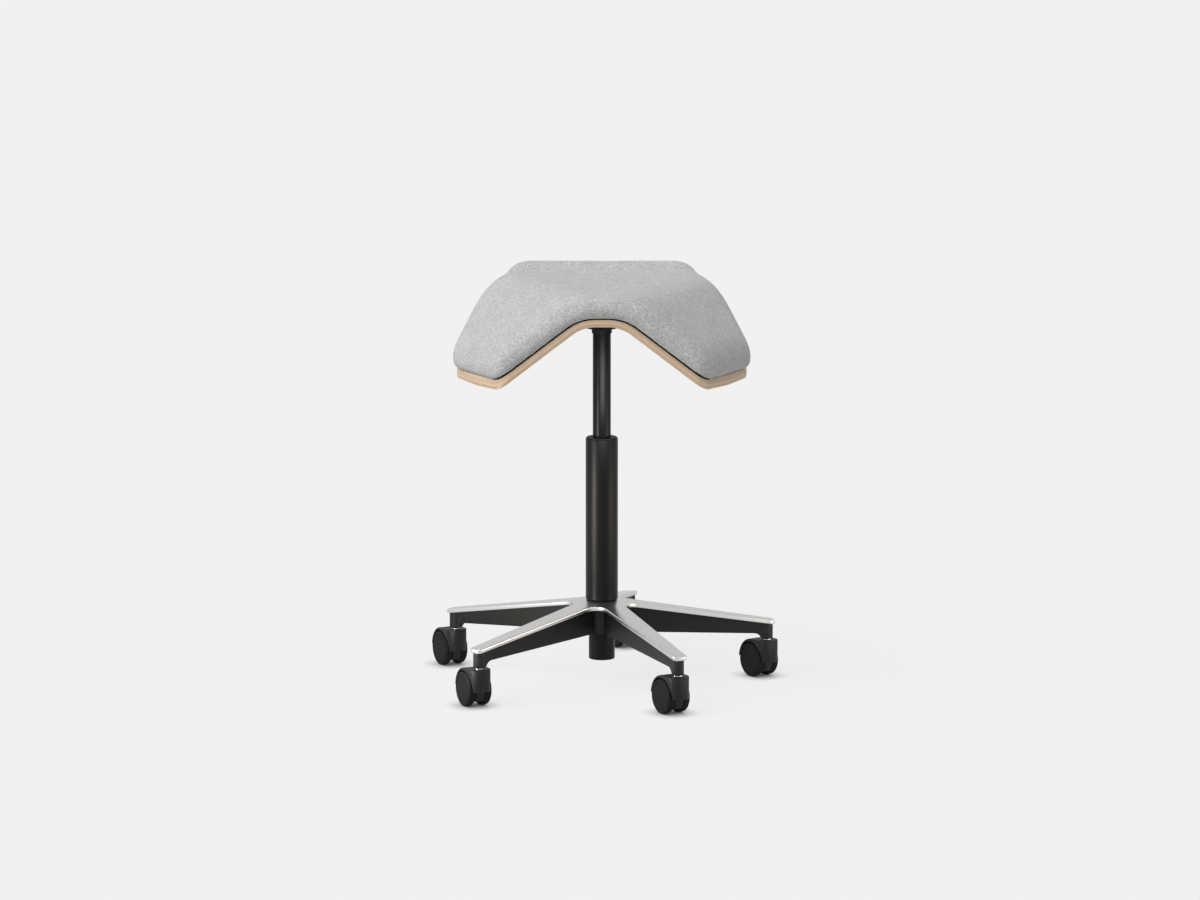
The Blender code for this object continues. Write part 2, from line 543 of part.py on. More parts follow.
def make_rod():
    foot = ROD_FOOT_RADIUS + GAP
    clip_top = STAND_FLOOR_Z - GAP
    clip_low = clip_top - CLIP_THICKNESS
    groove = ROD_FOOT_RADIUS - CLIP_GROOVE
    rod_low = STAND_LOW_Z + GAP
    spigot_top = PISTON_Z + PISTON_HEIGHT + 2 * GAP + PISTON_NUT_HEIGHT
    rod = [(0, rod_low), (ROD_FOOT_RADIUS, rod_low), (ROD_FOOT_RADIUS, clip_low - GAP),
           (groove, clip_low - GAP), (groove, clip_top + GAP / 2), (ROD_FOOT_RADIUS, clip_top + GAP / 2),
           (ROD_FOOT_RADIUS, ROD_SHOULDER_Z), (ROD_RADIUS, ROD_SHOULDER_Z), (ROD_RADIUS, PISTON_Z - GAP),
           (ROD_FOOT_RADIUS, PISTON_Z - GAP), (ROD_FOOT_RADIUS, spigot_top), (0, spigot_top)]
    add_piece("piston_rod", turned(rod, SMALL_STEPS, closed=False), "steel")
    add_piece("retaining_clip", ring(groove + GAP, CLIP_RADIUS, clip_low, clip_top, SMALL_STEPS), "steel")
    races = (("bearing_lower_race", LOWER_RACE_Z, RACE_THICKNESS, "steel"),
             ("bearing_cage", CAGE_Z, CAGE_THICKNESS, "black_plastic"),
             ("bearing_upper_race", UPPER_RACE_Z, RACE_THICKNESS, "steel"))
    for name, low, thickness, finish in races:
        add_piece(name, ring(foot, RACE_RADIUS, low, low + thickness, SMALL_STEPS), finish)
    bump = ring(ROD_RADIUS + GAP, BUMP_RADIUS, ROD_SHOULDER_Z, BUMP_TOP_Z, SMALL_STEPS)
    add_piece("bump_stop", bump, "rubber")
    outer = LIFT_BORE - GAP
    groove_outer = outer - PISTON_RING_DEPTH
    ring_low = PISTON_Z + (PISTON_HEIGHT - PISTON_RING_HEIGHT) / 2
    ring_high = ring_low + PISTON_RING_HEIGHT
    piston = [(foot, PISTON_Z), (outer, PISTON_Z), (outer, ring_low), (groove_outer, ring_low),
              (groove_outer, ring_high), (outer, ring_high), (outer, PISTON_Z + PISTON_HEIGHT),
              (foot, PISTON_Z + PISTON_HEIGHT)]
    add_piece("piston", turned(piston, COLUMN_STEPS), "black_metal")
    seal = ring(groove_outer + GAP, outer, ring_low + GAP, ring_high - GAP, COLUMN_STEPS)
    add_piece("piston_ring", seal, "rubber")
    nut_low = PISTON_Z + PISTON_HEIGHT + GAP
    nut_high = nut_low + PISTON_NUT_HEIGHT
    nut = add_piece("piston_nut", cylinder(PISTON_NUT_RADIUS, nut_low, nut_high, 6), "steel")
    thread = cylinder(foot, nut_low - CUT_OVERRUN, nut_high + CUT_OVERRUN, SMALL_STEPS)
    combine(nut, thread, "DIFFERENCE", "piston_nut_bore")


def make_lift():
    outer = LIFT_TUBE_RADIUS
    neck = outer - LIFT_TAPER
    hole = PIN_RADIUS + GAP
    cap_low = LIFT_TOP_Z - LIFT_CAP
    lip = LIFT_BORE - LIFT_LIP
    tube = [(hole, LIFT_TOP_Z), (neck, LIFT_TOP_Z), (outer, COLLAR_Z), (outer, LIFT_LOW_Z), (lip, LIFT_LOW_Z),
            (lip, LIFT_LOW_Z + LIFT_LIP), (LIFT_BORE, LIFT_LOW_Z + LIFT_LIP), (LIFT_BORE, cap_low),
            (hole, cap_low)]
    add_piece("lift_tube", turned(tube, COLUMN_STEPS), "black_metal")
    inside = LIFT_BORE - GAP
    valve = ring(hole, inside, cap_low - GAP - VALVE_LENGTH, cap_low - GAP, COLUMN_STEPS)
    add_piece("valve_body", valve, "steel")
    gland = ring(ROD_RADIUS + GAP, inside, GLAND_Z, GLAND_Z + GLAND_LENGTH, COLUMN_STEPS)
    add_piece("rod_gland", gland, "black_plastic")
    chamfer = PIN_RADIUS - PIN_TIP_RADIUS
    pin_low = PIN_TOP_Z - PIN_LENGTH
    pin = turned([(0, pin_low), (PIN_RADIUS, pin_low), (PIN_RADIUS, PIN_TOP_Z - chamfer),
                  (PIN_TIP_RADIUS, PIN_TOP_Z), (0, PIN_TOP_Z)], SMALL_STEPS, closed=False)
    add_piece("release_pin", pin, "steel")


def screw_places():
    half_x = SCREW_SPACING_X / 2
    half_y = SCREW_SPACING_Y / 2
    return [(x, PLATE_CENTRE_Y + y, 0) for x in (-half_x, half_x) for y in (-half_y, half_y)]


def make_seat_plate():
    half_x = PLATE_WIDTH / 2
    half_y = PLATE_LENGTH / 2
    corners = [(x, PLATE_CENTRE_Y + y, PLATE_ROUNDING) for x, y in
               ((-half_x, -half_y), (half_x, -half_y), (half_x, half_y), (-half_x, half_y))]
    sheet = prism(rounded_outline(corners, CORNER_STEPS), PLATE_Z, PLATE_TOP_Z)
    plate = add_piece("seat_plate", sheet, "black_metal")
    bury = PLATE_Z + PLATE_THICKNESS / 2
    housing = turned([(0, COLLAR_Z), (COLLAR_RADIUS, COLLAR_Z), (COLLAR_RADIUS, HOUSING_Z),
                      (HOUSING_RADIUS - HOUSING_CHAMFER, HOUSING_Z),
                      (HOUSING_RADIUS, HOUSING_Z + HOUSING_CHAMFER), (HOUSING_RADIUS, bury), (0, bury)],
                     COLUMN_STEPS, closed=False)
    combine(plate, housing, "UNION", "plate_housing")
    wide = LIFT_TUBE_RADIUS + GAP
    narrow = wide - LIFT_TAPER
    slope = LIFT_TAPER / SOCKET_REACH
    over_low = COLLAR_Z - CUT_OVERRUN
    bore = turned([(0, over_low), (wide + slope * CUT_OVERRUN, over_low), (narrow, LIFT_TOP_Z),
                   (narrow, PLATE_TOP_Z + CUT_OVERRUN), (0, PLATE_TOP_Z + CUT_OVERRUN)],
                  COLUMN_STEPS, closed=False)
    combine(plate, bore, "DIFFERENCE", "plate_bore")
    side = LEVER_WIDTH / 2 + LEVER_SIDE_GAP
    channel_end = -half_x - CUT_OVERRUN
    channel = prism([(channel_end, -side), (0, -side), (0, side), (channel_end, side)], LIFT_TOP_Z + GAP,
                    PLATE_TOP_Z + CUT_OVERRUN)
    combine(plate, channel, "DIFFERENCE", "plate_channel")
    reach = HOUSING_RADIUS + CUT_OVERRUN
    pin_bore = laid(cylinder(LEVER_PIN_RADIUS + GAP, -reach, reach, SMALL_STEPS), "Y")
    combine(plate, pin_bore, "DIFFERENCE", "plate_pin_bore", location=(LEVER_PIVOT_X, 0, LEVER_Z))
    for number, place in enumerate(screw_places(), 1):
        hole = cylinder(SCREW_RADIUS + GAP, PLATE_Z - CUT_OVERRUN, PLATE_TOP_Z + CUT_OVERRUN, SMALL_STEPS)
        combine(plate, hole, "DIFFERENCE", f"plate_hole_{number}", location=place)


def make_fasteners():
    head_high = PLATE_Z - GAP
    head_low = head_high - SCREW_HEAD_HEIGHT
    nut_top = SEAT_Z - GAP
    flange_low = nut_top - TEE_NUT_FLANGE_THICKNESS
    nut_low = flange_low - TEE_NUT_LENGTH
    thread = SCREW_RADIUS + GAP
    for number, place in enumerate(screw_places(), 1):
        screw = [(0, head_low + SCREW_SOCKET_DEPTH), (SCREW_SOCKET_RADIUS, head_low + SCREW_SOCKET_DEPTH),
                 (SCREW_SOCKET_RADIUS, head_low), (SCREW_HEAD_RADIUS, head_low),
                 (SCREW_HEAD_RADIUS, head_high), (SCREW_RADIUS, head_high), (SCREW_RADIUS, flange_low),
                 (0, flange_low)]
        add_piece(f"plate_screw_{number}", turned(screw, 12, closed=False), "steel", location=place)
        nut = [(thread, nut_low), (TEE_NUT_BARREL_RADIUS, nut_low), (TEE_NUT_BARREL_RADIUS, flange_low),
               (TEE_NUT_FLANGE_RADIUS, flange_low), (TEE_NUT_FLANGE_RADIUS, nut_top), (thread, nut_top)]
        add_piece(f"tee_nut_{number}", turned(nut, 12), "steel", location=place)


def tee_nut_cutter():
    flange_low = SEAT_Z - 2 * GAP - TEE_NUT_FLANGE_THICKNESS
    low = SEAT_Z - PLY_THICKNESS - CUT_OVERRUN
    high = SEAT_Z + CUT_OVERRUN
    barrel = TEE_NUT_BARREL_RADIUS + GAP
    flange = TEE_NUT_FLANGE_RADIUS + GAP
    profile = [(0, low), (barrel, low), (barrel, flange_low), (flange, flange_low), (flange, high), (0, high)]
    return turned(profile, 12, closed=False)


def lever_outline():
    """Side view of the bar from its pivot: a level run over the release pin, then a slope to the grip."""
    half = LEVER_THICKNESS / 2
    tail = LEVER_TAIL - LEVER_PIVOT_X
    bend = -LEVER_LEVEL_RUN
    shift = half * math.tan(LEVER_DROP_ANGLE / 2)
    along = (-math.cos(LEVER_DROP_ANGLE), -math.sin(LEVER_DROP_ANGLE))
    up = (along[1], -along[0])
    end = (bend + LEVER_DROP_RUN * along[0], LEVER_DROP_RUN * along[1])
    return [(tail, half), (bend - shift, half), (end[0] + half * up[0], end[1] + half * up[1]),
            (end[0] - half * up[0], end[1] - half * up[1]), (bend + shift, -half), (tail, -half)]


def make_lever():
    pivot = add_pivot("lever_pivot", (LEVER_PIVOT_X, 0, LEVER_Z))
    lever = add_piece("release_lever", side_prism(lever_outline(), LEVER_WIDTH / 2), "steel", pivot)
    eye = laid(cylinder(LEVER_EYE_RADIUS, -LEVER_WIDTH / 2, LEVER_WIDTH / 2, SMALL_STEPS), "Y")
    combine(lever, eye, "UNION", "lever_eye", pivot)
    bore = laid(cylinder(LEVER_PIN_RADIUS + GAP, -LEVER_WIDTH, LEVER_WIDTH, SMALL_STEPS), "Y")
    combine(lever, bore, "DIFFERENCE", "lever_bore", pivot)
    pin_half = LEVER_PIN_LENGTH / 2
    pin = laid(cylinder(LEVER_PIN_RADIUS, -pin_half, pin_half, SMALL_STEPS), "Y")
    add_piece("lever_pin", pin, "steel", pivot)
    bar_end = (-LEVER_LEVEL_RUN - LEVER_DROP_RUN * math.cos(LEVER_DROP_ANGLE), 0,
               -LEVER_DROP_RUN * math.sin(LEVER_DROP_ANGLE))
    inner = GRIP_SLOT_DEPTH
    outer = inner - GRIP_LENGTH
    half_width = GRIP_WIDTH / 2
    corners = [(inner, -half_width, GRIP_ROUNDING), (inner, half_width, GRIP_ROUNDING),
               (outer, half_width, GRIP_WIDTH / 3), (outer, -half_width, GRIP_WIDTH / 3)]
    handle = prism(rounded_outline(corners, CORNER_STEPS), -GRIP_THICKNESS / 2, GRIP_THICKNESS / 2)
    grip = add_piece("lever_grip", handle, "black_plastic", pivot, bar_end, -LEVER_DROP_ANGLE)
    slot_half = LEVER_WIDTH / 2 + GAP
    slot_end = inner + CUT_OVERRUN
    slot = prism([(-GAP, -slot_half), (slot_end, -slot_half), (slot_end, slot_half), (-GAP, slot_half)],
                 -LEVER_THICKNESS / 2 - GAP, LEVER_THICKNESS / 2 + GAP)
    combine(grip, slot, "DIFFERENCE", "grip_slot", pivot, bar_end, -LEVER_DROP_ANGLE)


def fold_distance(x, y):
    """Distance in plan past the line where a wing starts to bend."""
    return (abs(x) - FOLD_START) * math.cos(FOLD_SPREAD) - (y - SEAT_FRONT_Y) * math.sin(FOLD_SPREAD)


def seat_height(x, y, offset):
    """Height of the surface that lies offset above the plywood's top face."""
    radius = FOLD_RADIUS + offset
    past = fold_distance(x, y)
    bend_end = radius * math.sin(FOLD_ANGLE)
    on_bend = min(max(past, 0), bend_end)
    fall = radius - math.sqrt(radius ** 2 - on_bend ** 2) + max(past - bend_end, 0) * math.tan(FOLD_ANGLE)
    lip_radius = LIP_RADIUS - offset
    into_lip = max(y - (SEAT_REAR_Y - LIP_LENGTH), 0)
    lip_end = lip_radius * math.sin(LIP_ANGLE)
    on_lip = min(into_lip, lip_end)
    rise = lip_radius - math.sqrt(lip_radius ** 2 - on_lip ** 2)
    rise += max(into_lip - lip_end, 0) * math.tan(LIP_ANGLE)
    return SEAT_Z + offset - fall + rise


def seat_outline():
    right = [(FRONT_CORNER_X, SEAT_FRONT_Y, FRONT_CORNER_ROUNDING),
             (SIDE_CORNER_X, SIDE_CORNER_Y, SIDE_CORNER_ROUNDING),
             (HIP_CORNER_X, HIP_CORNER_Y, HIP_CORNER_ROUNDING),
             (REAR_CORNER_X, SEAT_REAR_Y, REAR_CORNER_ROUNDING)]
    left = [(-x, y, radius) for x, y, radius in reversed(right)]
    return rounded_outline(right + left, CORNER_STEPS)


def outward_normals(points):
    normals = []
    count = len(points)
    for index in range(count):
        before = points[index - 1]
        after = points[(index + 1) % count]
        along = (after[0] - before[0], after[1] - before[1])
        length = math.hypot(*along)
        normals.append((along[1] / length, -along[0] / length))
    return normals


def cut_fold_lines(bm):
    """Cuts a flat sheet along the lines that the folds and the lip bend on."""
    widest = FOLD_RADIUS + PAD_HEIGHT
    lines = []
    for share in range(7):
        past = widest * math.sin(FOLD_ANGLE) * share / 6
        for sign in (-1, 1):
            normal = (sign * math.cos(FOLD_SPREAD), -math.sin(FOLD_SPREAD), 0)
            start = (sign * (FOLD_START + past / math.cos(FOLD_SPREAD)), SEAT_FRONT_Y, 0)
            lines.append((start, normal))
    for share in range(4):
        into_lip = LIP_RADIUS * math.sin(LIP_ANGLE) * share / 4
        lines.append(((0, SEAT_REAR_Y - LIP_LENGTH + into_lip, 0), (0, 1, 0)))
    for start, normal in lines:
        bmesh.ops.bisect_plane(bm, geom=bm.verts[:] + bm.edges[:] + bm.faces[:], dist=1e-5, plane_co=start,
                               plane_no=normal)


def boundary_loop(bm):
    start = next(vert for vert in bm.verts if vert.is_boundary)
    loop = [start]
    while True:
        here = loop[-1]
        rim = [edge.other_vert(here) for edge in here.link_edges if edge.is_boundary]
        ahead = [vert for vert in rim if vert not in loop[-2:]]
        if len(loop) == 1:
            ahead = rim[:1]
        if ahead[0] is start:
            return loop
        loop.append(ahead[0])


def folded_body(rows, crown=0.0):
    """Closed body on the seat's folded surface. Rows are (outset from the plywood's outline, height above
    it): the first row bounds the upper sheet and the last one the lower sheet, both at the same outset."""
    bm = bmesh.new()
    outline = seat_outline()
    normals = outward_normals(outline)
    first = rows[0][0]
    rim = [(x + first * nx, y + first * ny, 0) for (x, y), (nx, ny) in zip(outline, normals)]
    bm.faces.new([bm.verts.new(place) for place in rim])
    cut_fold_lines(bm)
    bmesh.ops.triangulate(bm, faces=bm.faces[:])
    sheet = bm.faces[:]
    loop = boundary_loop(bm)
    plan = [(vert.co.x, vert.co.y) for vert in loop]
    area = sum(a[0] * b[1] - a[1] * b[0] for a, b in zip(plan, plan[1:] + plan[:1]))
    if area < 0:
        loop.reverse()
        plan.reverse()
    outward = outward_normals(plan)
    copy = bmesh.ops.duplicate(bm, geom=sheet)
    twin = copy["vert_map"]
    rim = set(loop)
    upper = [vert for vert in {vert for face in sheet for vert in face.verts}]
    for vert in upper:
        x, y = vert.co.x, vert.co.y
        swell = 0.0
        if vert not in rim:
            swell = crown * max(0.0, 1 - (x / SIDE_CORNER_X) ** 2) * max(0.0, 1 - (y / SEAT_FRONT_Y) ** 2)
        low = twin[vert]
        low.co.z = seat_height(x, y, rows[-1][1] + (swell if rows[-1][1] > rows[-2][1] else 0))
        vert.co.z = seat_height(x, y, rows[0][1] + swell)
    rings = [loop]
    for outset, height in rows[1:-1]:
        step = outset - first
        moved = [(x + step * nx, y + step * ny) for (x, y), (nx, ny) in zip(plan, outward)]
        rings.append([bm.verts.new((x, y, seat_height(x, y, height))) for x, y in moved])
    rings.append([twin[vert] for vert in loop])
    for step, (one, two) in enumerate(zip(rings, rings[1:])):
        falling = rows[step][1] >= rows[step + 1][1]
        high, low = (one, two) if falling else (two, one)
        for index in range(len(loop)):
            ahead = (index + 1) % len(loop)
            bm.faces.new((high[index], low[index], low[ahead]))
            bm.faces.new((high[index], low[ahead], high[ahead]))
    return bm


def pad_rows(shrink):
    """Side of the pad from its top to its rim, moved in by shrink."""
    rows = []
    rounding = PAD_ROUNDING - shrink
    for angle in (90, 65, 40, 15):
        turn = math.radians(angle)
        outset = PAD_BULGE - shrink - rounding * (1 - math.cos(turn))
        rows.append((outset, PAD_BULGE_HIGH + (PAD_HEIGHT - shrink - PAD_BULGE_HIGH) * math.sin(turn)))
    rows.append((PAD_BULGE - shrink, PAD_BULGE_LOW))
    rim = BOARD_THICKNESS + 2 * SKIN_GAP
    middle = (PAD_BULGE - PAD_RIM_INSET) / 2
    rows.append((middle - shrink, (PAD_BULGE_LOW + 2 * rim) / 3))
    rows.append((-PAD_RIM_INSET - shrink, rim))
    return rows


def make_seat():
    edge = PLY_EDGE_ROUNDING
    eased = edge * (1 - math.sqrt(0.5))
    low = -PLY_THICKNESS
    shell_rows = [(-edge, 0), (-eased, -eased), (0, -edge), (0, low + edge), (-eased, low + eased),
                  (-edge, low)]
    shell = add_piece("seat_shell", folded_body(shell_rows), "plywood")
    for number, place in enumerate(screw_places(), 1):
        combine(shell, tee_nut_cutter(), "DIFFERENCE", f"shell_hole_{number}", location=place)
    board_rows = [(-BOARD_INSET, SKIN_GAP + BOARD_THICKNESS), (-BOARD_INSET, SKIN_GAP)]
    add_piece("cushion_board", folded_body(board_rows), "black_board")
    outside = pad_rows(0)
    inside = pad_rows(COVER_THICKNESS)
    top_outset = outside[0][0]
    inside[0] = (top_outset, inside[0][1])
    add_piece("cushion_cover", folded_body(outside + inside[::-1], PAD_CROWN), "felt")
    core = pad_rows(COVER_THICKNESS + SKIN_GAP)
    core[0] = (top_outset, core[0][1])
    core_low = core[-1][1] + SKIN_GAP
    core[-1] = (core[-1][0], core_low)
    core.append((top_outset, core_low))
    add_piece("cushion_foam", folded_body(core, PAD_CROWN), "foam")


def main():
    clear_scene()
    make_base()
    for number, angle in enumerate(arm_angles(), 1):
        make_castor(number, angle)
    make_stand()
    make_rod()
    make_lift()
    make_seat_plate()
    make_fasteners()
    make_lever()
    make_seat()


main()
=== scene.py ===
import json
import math

import bmesh
import bpy
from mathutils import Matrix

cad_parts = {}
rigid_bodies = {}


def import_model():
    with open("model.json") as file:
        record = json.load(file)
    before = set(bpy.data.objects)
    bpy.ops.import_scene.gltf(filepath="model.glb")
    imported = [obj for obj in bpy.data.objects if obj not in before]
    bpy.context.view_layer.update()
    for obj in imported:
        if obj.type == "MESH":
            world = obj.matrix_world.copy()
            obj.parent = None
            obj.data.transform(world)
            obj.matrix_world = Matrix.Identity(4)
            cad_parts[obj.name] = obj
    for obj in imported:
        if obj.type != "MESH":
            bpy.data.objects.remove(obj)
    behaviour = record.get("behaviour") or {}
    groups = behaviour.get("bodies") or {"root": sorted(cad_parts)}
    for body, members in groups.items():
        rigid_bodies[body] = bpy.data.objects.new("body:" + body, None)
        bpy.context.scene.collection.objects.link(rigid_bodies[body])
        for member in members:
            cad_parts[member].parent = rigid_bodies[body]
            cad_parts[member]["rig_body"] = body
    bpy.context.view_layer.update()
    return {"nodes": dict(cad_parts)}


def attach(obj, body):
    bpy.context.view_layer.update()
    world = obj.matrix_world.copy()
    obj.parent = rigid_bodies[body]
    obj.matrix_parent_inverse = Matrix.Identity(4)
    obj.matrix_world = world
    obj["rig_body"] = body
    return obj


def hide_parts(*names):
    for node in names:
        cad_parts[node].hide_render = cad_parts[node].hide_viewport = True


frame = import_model()
nodes = frame["nodes"]
bpy.ops.object.select_all(action="DESELECT")
print("frame loaded:", len(nodes), "nodes")

# bench tools

fullTurn = 2 * math.pi


def pick(piece):
    bpy.ops.object.select_all(action="DESELECT")
    piece.select_set(True)
    bpy.context.view_layer.objects.active = piece


def openEdit(piece, kind="FACE"):
    pick(piece)
    bpy.ops.object.mode_set(mode="EDIT")
    bpy.ops.mesh.select_mode(type=kind)
    bpy.ops.mesh.select_all(action="DESELECT")


def closeEdit():
    bpy.ops.object.mode_set(mode="OBJECT")


def selectFaces(piece, wanted):
    mesh = bmesh.from_edit_mesh(piece.data)
    for face in mesh.faces:
        face.select_set(wanted(face))
    bmesh.update_edit_mesh(piece.data)


def selectEdges(piece, wanted):
    mesh = bmesh.from_edit_mesh(piece.data)
    for edge in mesh.edges:
        edge.select_set(wanted(edge))
    bmesh.update_edit_mesh(piece.data)


def modify(piece, kind, **values):
    modifier = piece.modifiers.new(kind.lower(), kind)
    for key, value in values.items():
        setattr(modifier, key, value)
    pick(piece)
    bpy.ops.object.modifier_apply(modifier=modifier.name)


def cut(piece, tool, operation="DIFFERENCE"):
    modify(piece, "BOOLEAN", operation=operation, solver="EXACT", object=tool)
    bpy.data.objects.remove(tool, do_unlink=True)


def softEdges(piece, width, segments=3, degrees=32):
    modify(piece, "BEVEL", width=width, segments=segments, limit_method="ANGLE",
           angle_limit=math.radians(degrees), use_clamp_overlap=True, harden_normals=False)


def shade(piece, degrees=32):
    pick(piece)
    bpy.ops.object.shade_smooth_by_angle(angle=math.radians(degrees))


def startPoint(name, place):
    bpy.ops.object.select_all(action="DESELECT")
    bpy.ops.mesh.primitive_plane_add(size=0.01, location=(0, 0, 0))
    piece = bpy.context.object
    piece.name = name
    piece.data.name = name
    bpy.ops.object.mode_set(mode="EDIT")
    bpy.ops.mesh.select_mode(type="VERT")
    bpy.ops.mesh.select_all(action="SELECT")
    bpy.ops.mesh.merge(type="CENTER")
    bpy.ops.transform.translate(value=place)
    return piece


def drawPath(name, points):
    piece = startPoint(name, points[0])
    for here, ahead in zip(points, points[1:]):
        step = [b - a for a, b in zip(here, ahead)]
        bpy.ops.mesh.extrude_region_move(TRANSFORM_OT_translate={"value": step})
    return piece


def spunPiece(name, profile, steps):
    piece = drawPath(name, [(radius, 0, z) for radius, z in profile])
    bpy.ops.mesh.select_all(action="SELECT")
    bpy.ops.mesh.spin(steps=steps, angle=fullTurn, center=(0, 0, 0), axis=(0, 0, 1))
    bpy.ops.mesh.select_all(action="SELECT")
    bpy.ops.mesh.remove_doubles(threshold=1e-6)
    bpy.ops.mesh.normals_make_consistent(inside=False)
    closeEdit()
    return piece


def platePiece(name, outline, depth):
    # outline is a loop of points in space, depth the way it is extruded
    piece = drawPath(name, [*outline, outline[0]])
    bpy.ops.mesh.select_all(action="SELECT")
    bpy.ops.mesh.remove_doubles(threshold=1e-7)
    bpy.ops.mesh.select_all(action="SELECT")
    bpy.ops.mesh.edge_face_add()
    bpy.ops.mesh.extrude_region_move(TRANSFORM_OT_translate={"value": depth})
    bpy.ops.mesh.select_all(action="SELECT")
    bpy.ops.mesh.normals_make_consistent(inside=False)
    closeEdit()
    return piece


def roundedOutline(corners, steps):
    points = []
    for index, (x, y, radius) in enumerate(corners):
        before = corners[index - 1]
        after = corners[(index + 1) % len(corners)]
        backAngle = math.atan2(before[1] - y, before[0] - x)
        aheadAngle = math.atan2(after[1] - y, after[0] - x)
        bend = (aheadAngle - backAngle + math.pi) % fullTurn - math.pi
        middle = backAngle + bend / 2
        reach = radius / math.sin(abs(bend) / 2)
        centre = (x + reach * math.cos(middle), y + reach * math.sin(middle))
        sweep = math.copysign(math.pi - abs(bend), bend)
        for step in range(steps + 1):
            angle = middle + math.pi + sweep * (0.5 - step / steps)
            points.append((centre[0] + radius * math.cos(angle), centre[1] + radius * math.sin(angle)))
    return points


def arcPoints(centre, radius, start, end, steps):
    angles = [start + (end - start) * step / steps for step in range(steps + 1)]
    return [(centre[0] + radius * math.cos(a), centre[1] + radius * math.sin(a)) for a in angles]


def settle(piece, turn=(0, 0, 0), place=(0, 0, 0)):
    pick(piece)
    piece.rotation_euler = turn
    piece.location = place
    bpy.ops.object.transform_apply(location=True, rotation=True, scale=True)


def meshCopy(source, name, turn=0.0, place=(0, 0, 0)):
    copy = bpy.data.objects.new(name, source.data.copy())
    copy.data.name = name
    bpy.context.scene.collection.objects.link(copy)
    settle(copy, (0, 0, turn), place)
    return copy


def softCopy(nodeName, name, width):
    # a CAD node's mesh, merged, with its flat faces joined and its edges eased
    copy = meshCopy(nodes[nodeName], name)
    openEdit(copy)
    bpy.ops.mesh.select_all(action="SELECT")
    bpy.ops.mesh.remove_doubles(threshold=1e-6)
    bpy.ops.mesh.select_all(action="SELECT")
    bpy.ops.mesh.dissolve_limited(angle_limit=math.radians(1))
    closeEdit()
    softEdges(copy, width, 2)
    return copy


def finishPiece(piece, material, slotName, body, *stoodFor):
    piece.data.materials.clear()
    piece.data.materials.append(material)
    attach(piece, body)
    if stoodFor:
        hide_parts(*stoodFor)
    return piece


# finishes

def addNode(tree, kind, **inputs):
    node = tree.nodes.new(kind)
    for key, value in inputs.items():
        node.inputs[key.replace("_", " ")].default_value = value
    return node


def mathNode(tree, operation, first, second):
    node = tree.nodes.new("ShaderNodeMath")
    node.operation = operation
    for slot, value in enumerate((first, second)):
        if isinstance(value, (int, float)):
            node.inputs[slot].default_value = value
        else:
            tree.links.new(value, node.inputs[slot])
    return node.outputs[0]


def rangeNode(tree, value, low, high, outLow=0.0, outHigh=1.0):
    node = tree.nodes.new("ShaderNodeMapRange")
    tree.links.new(value, node.inputs["Value"])
    for key, setting in (("From Min", low), ("From Max", high), ("To Min", outLow), ("To Max", outHigh)):
        node.inputs[key].default_value = setting
    return node.outputs["Result"]


def mixColour(tree, share, first, second):
    node = tree.nodes.new("ShaderNodeMix")
    node.data_type = "RGBA"
    tree.links.new(share, node.inputs[0])
    for slot, value in ((6, first), (7, second)):
        if isinstance(value, tuple):
            node.inputs[slot].default_value = value
        else:
            tree.links.new(value, node.inputs[slot])
    return node.outputs[2]


def newGroup(name, inputs, outputs):
    group = bpy.data.node_groups.new(name, "ShaderNodeTree")
    for label, kind, value in inputs:
        socket = group.interface.new_socket(label, in_out="INPUT", socket_type=kind)
        socket.default_value = value
    for label, kind in outputs:
        group.interface.new_socket(label, in_out="OUTPUT", socket_type=kind)
    return group, group.nodes.new("NodeGroupInput"), group.nodes.new("NodeGroupOutput")


number = "NodeSocketFloat"
colour = "NodeSocketColor"


def mottleGroup():
    # slow drift between two close tones
    group, given, result = newGroup(
        "mottle", [("Scale", number, 20.0), ("Dark", colour, (0, 0, 0, 1)), ("Light", colour, (1, 1, 1, 1))],
        [("Color", colour), ("Mask", number)])
    place = group.nodes.new("ShaderNodeTexCoord")
    noise = addNode(group, "ShaderNodeTexNoise", Detail=5.0, Roughness=0.62)
    group.links.new(place.outputs["Object"], noise.inputs["Vector"])
    group.links.new(given.outputs["Scale"], noise.inputs["Scale"])
    mask = rangeNode(group, noise.outputs["Fac"], 0.3, 0.7)
    tone = mixColour(group, mask, given.outputs["Dark"], given.outputs["Light"])
    group.links.new(tone, result.inputs["Color"])
    group.links.new(mask, result.inputs["Mask"])
    return group


def grainGroup():
    # fine tooth of a coating, casting or moulding, as a height
    group, given, result = newGroup(
        "fineGrain", [("Scale", number, 400.0), ("Pits", number, 0.3)], [("Height", number)])
    place = group.nodes.new("ShaderNodeTexCoord")
    fine = addNode(group, "ShaderNodeTexNoise", Detail=3.0, Roughness=0.55)
    pits = addNode(group, "ShaderNodeTexVoronoi")
    for node in (fine, pits):
        group.links.new(place.outputs["Object"], node.inputs["Vector"])
        group.links.new(given.outputs["Scale"], node.inputs["Scale"])
    deep = mathNode(group, "MULTIPLY", pits.outputs["Distance"], given.outputs["Pits"])
    height = mathNode(group, "ADD", fine.outputs["Fac"], deep)
    group.links.new(height, result.inputs["Height"])
    return group


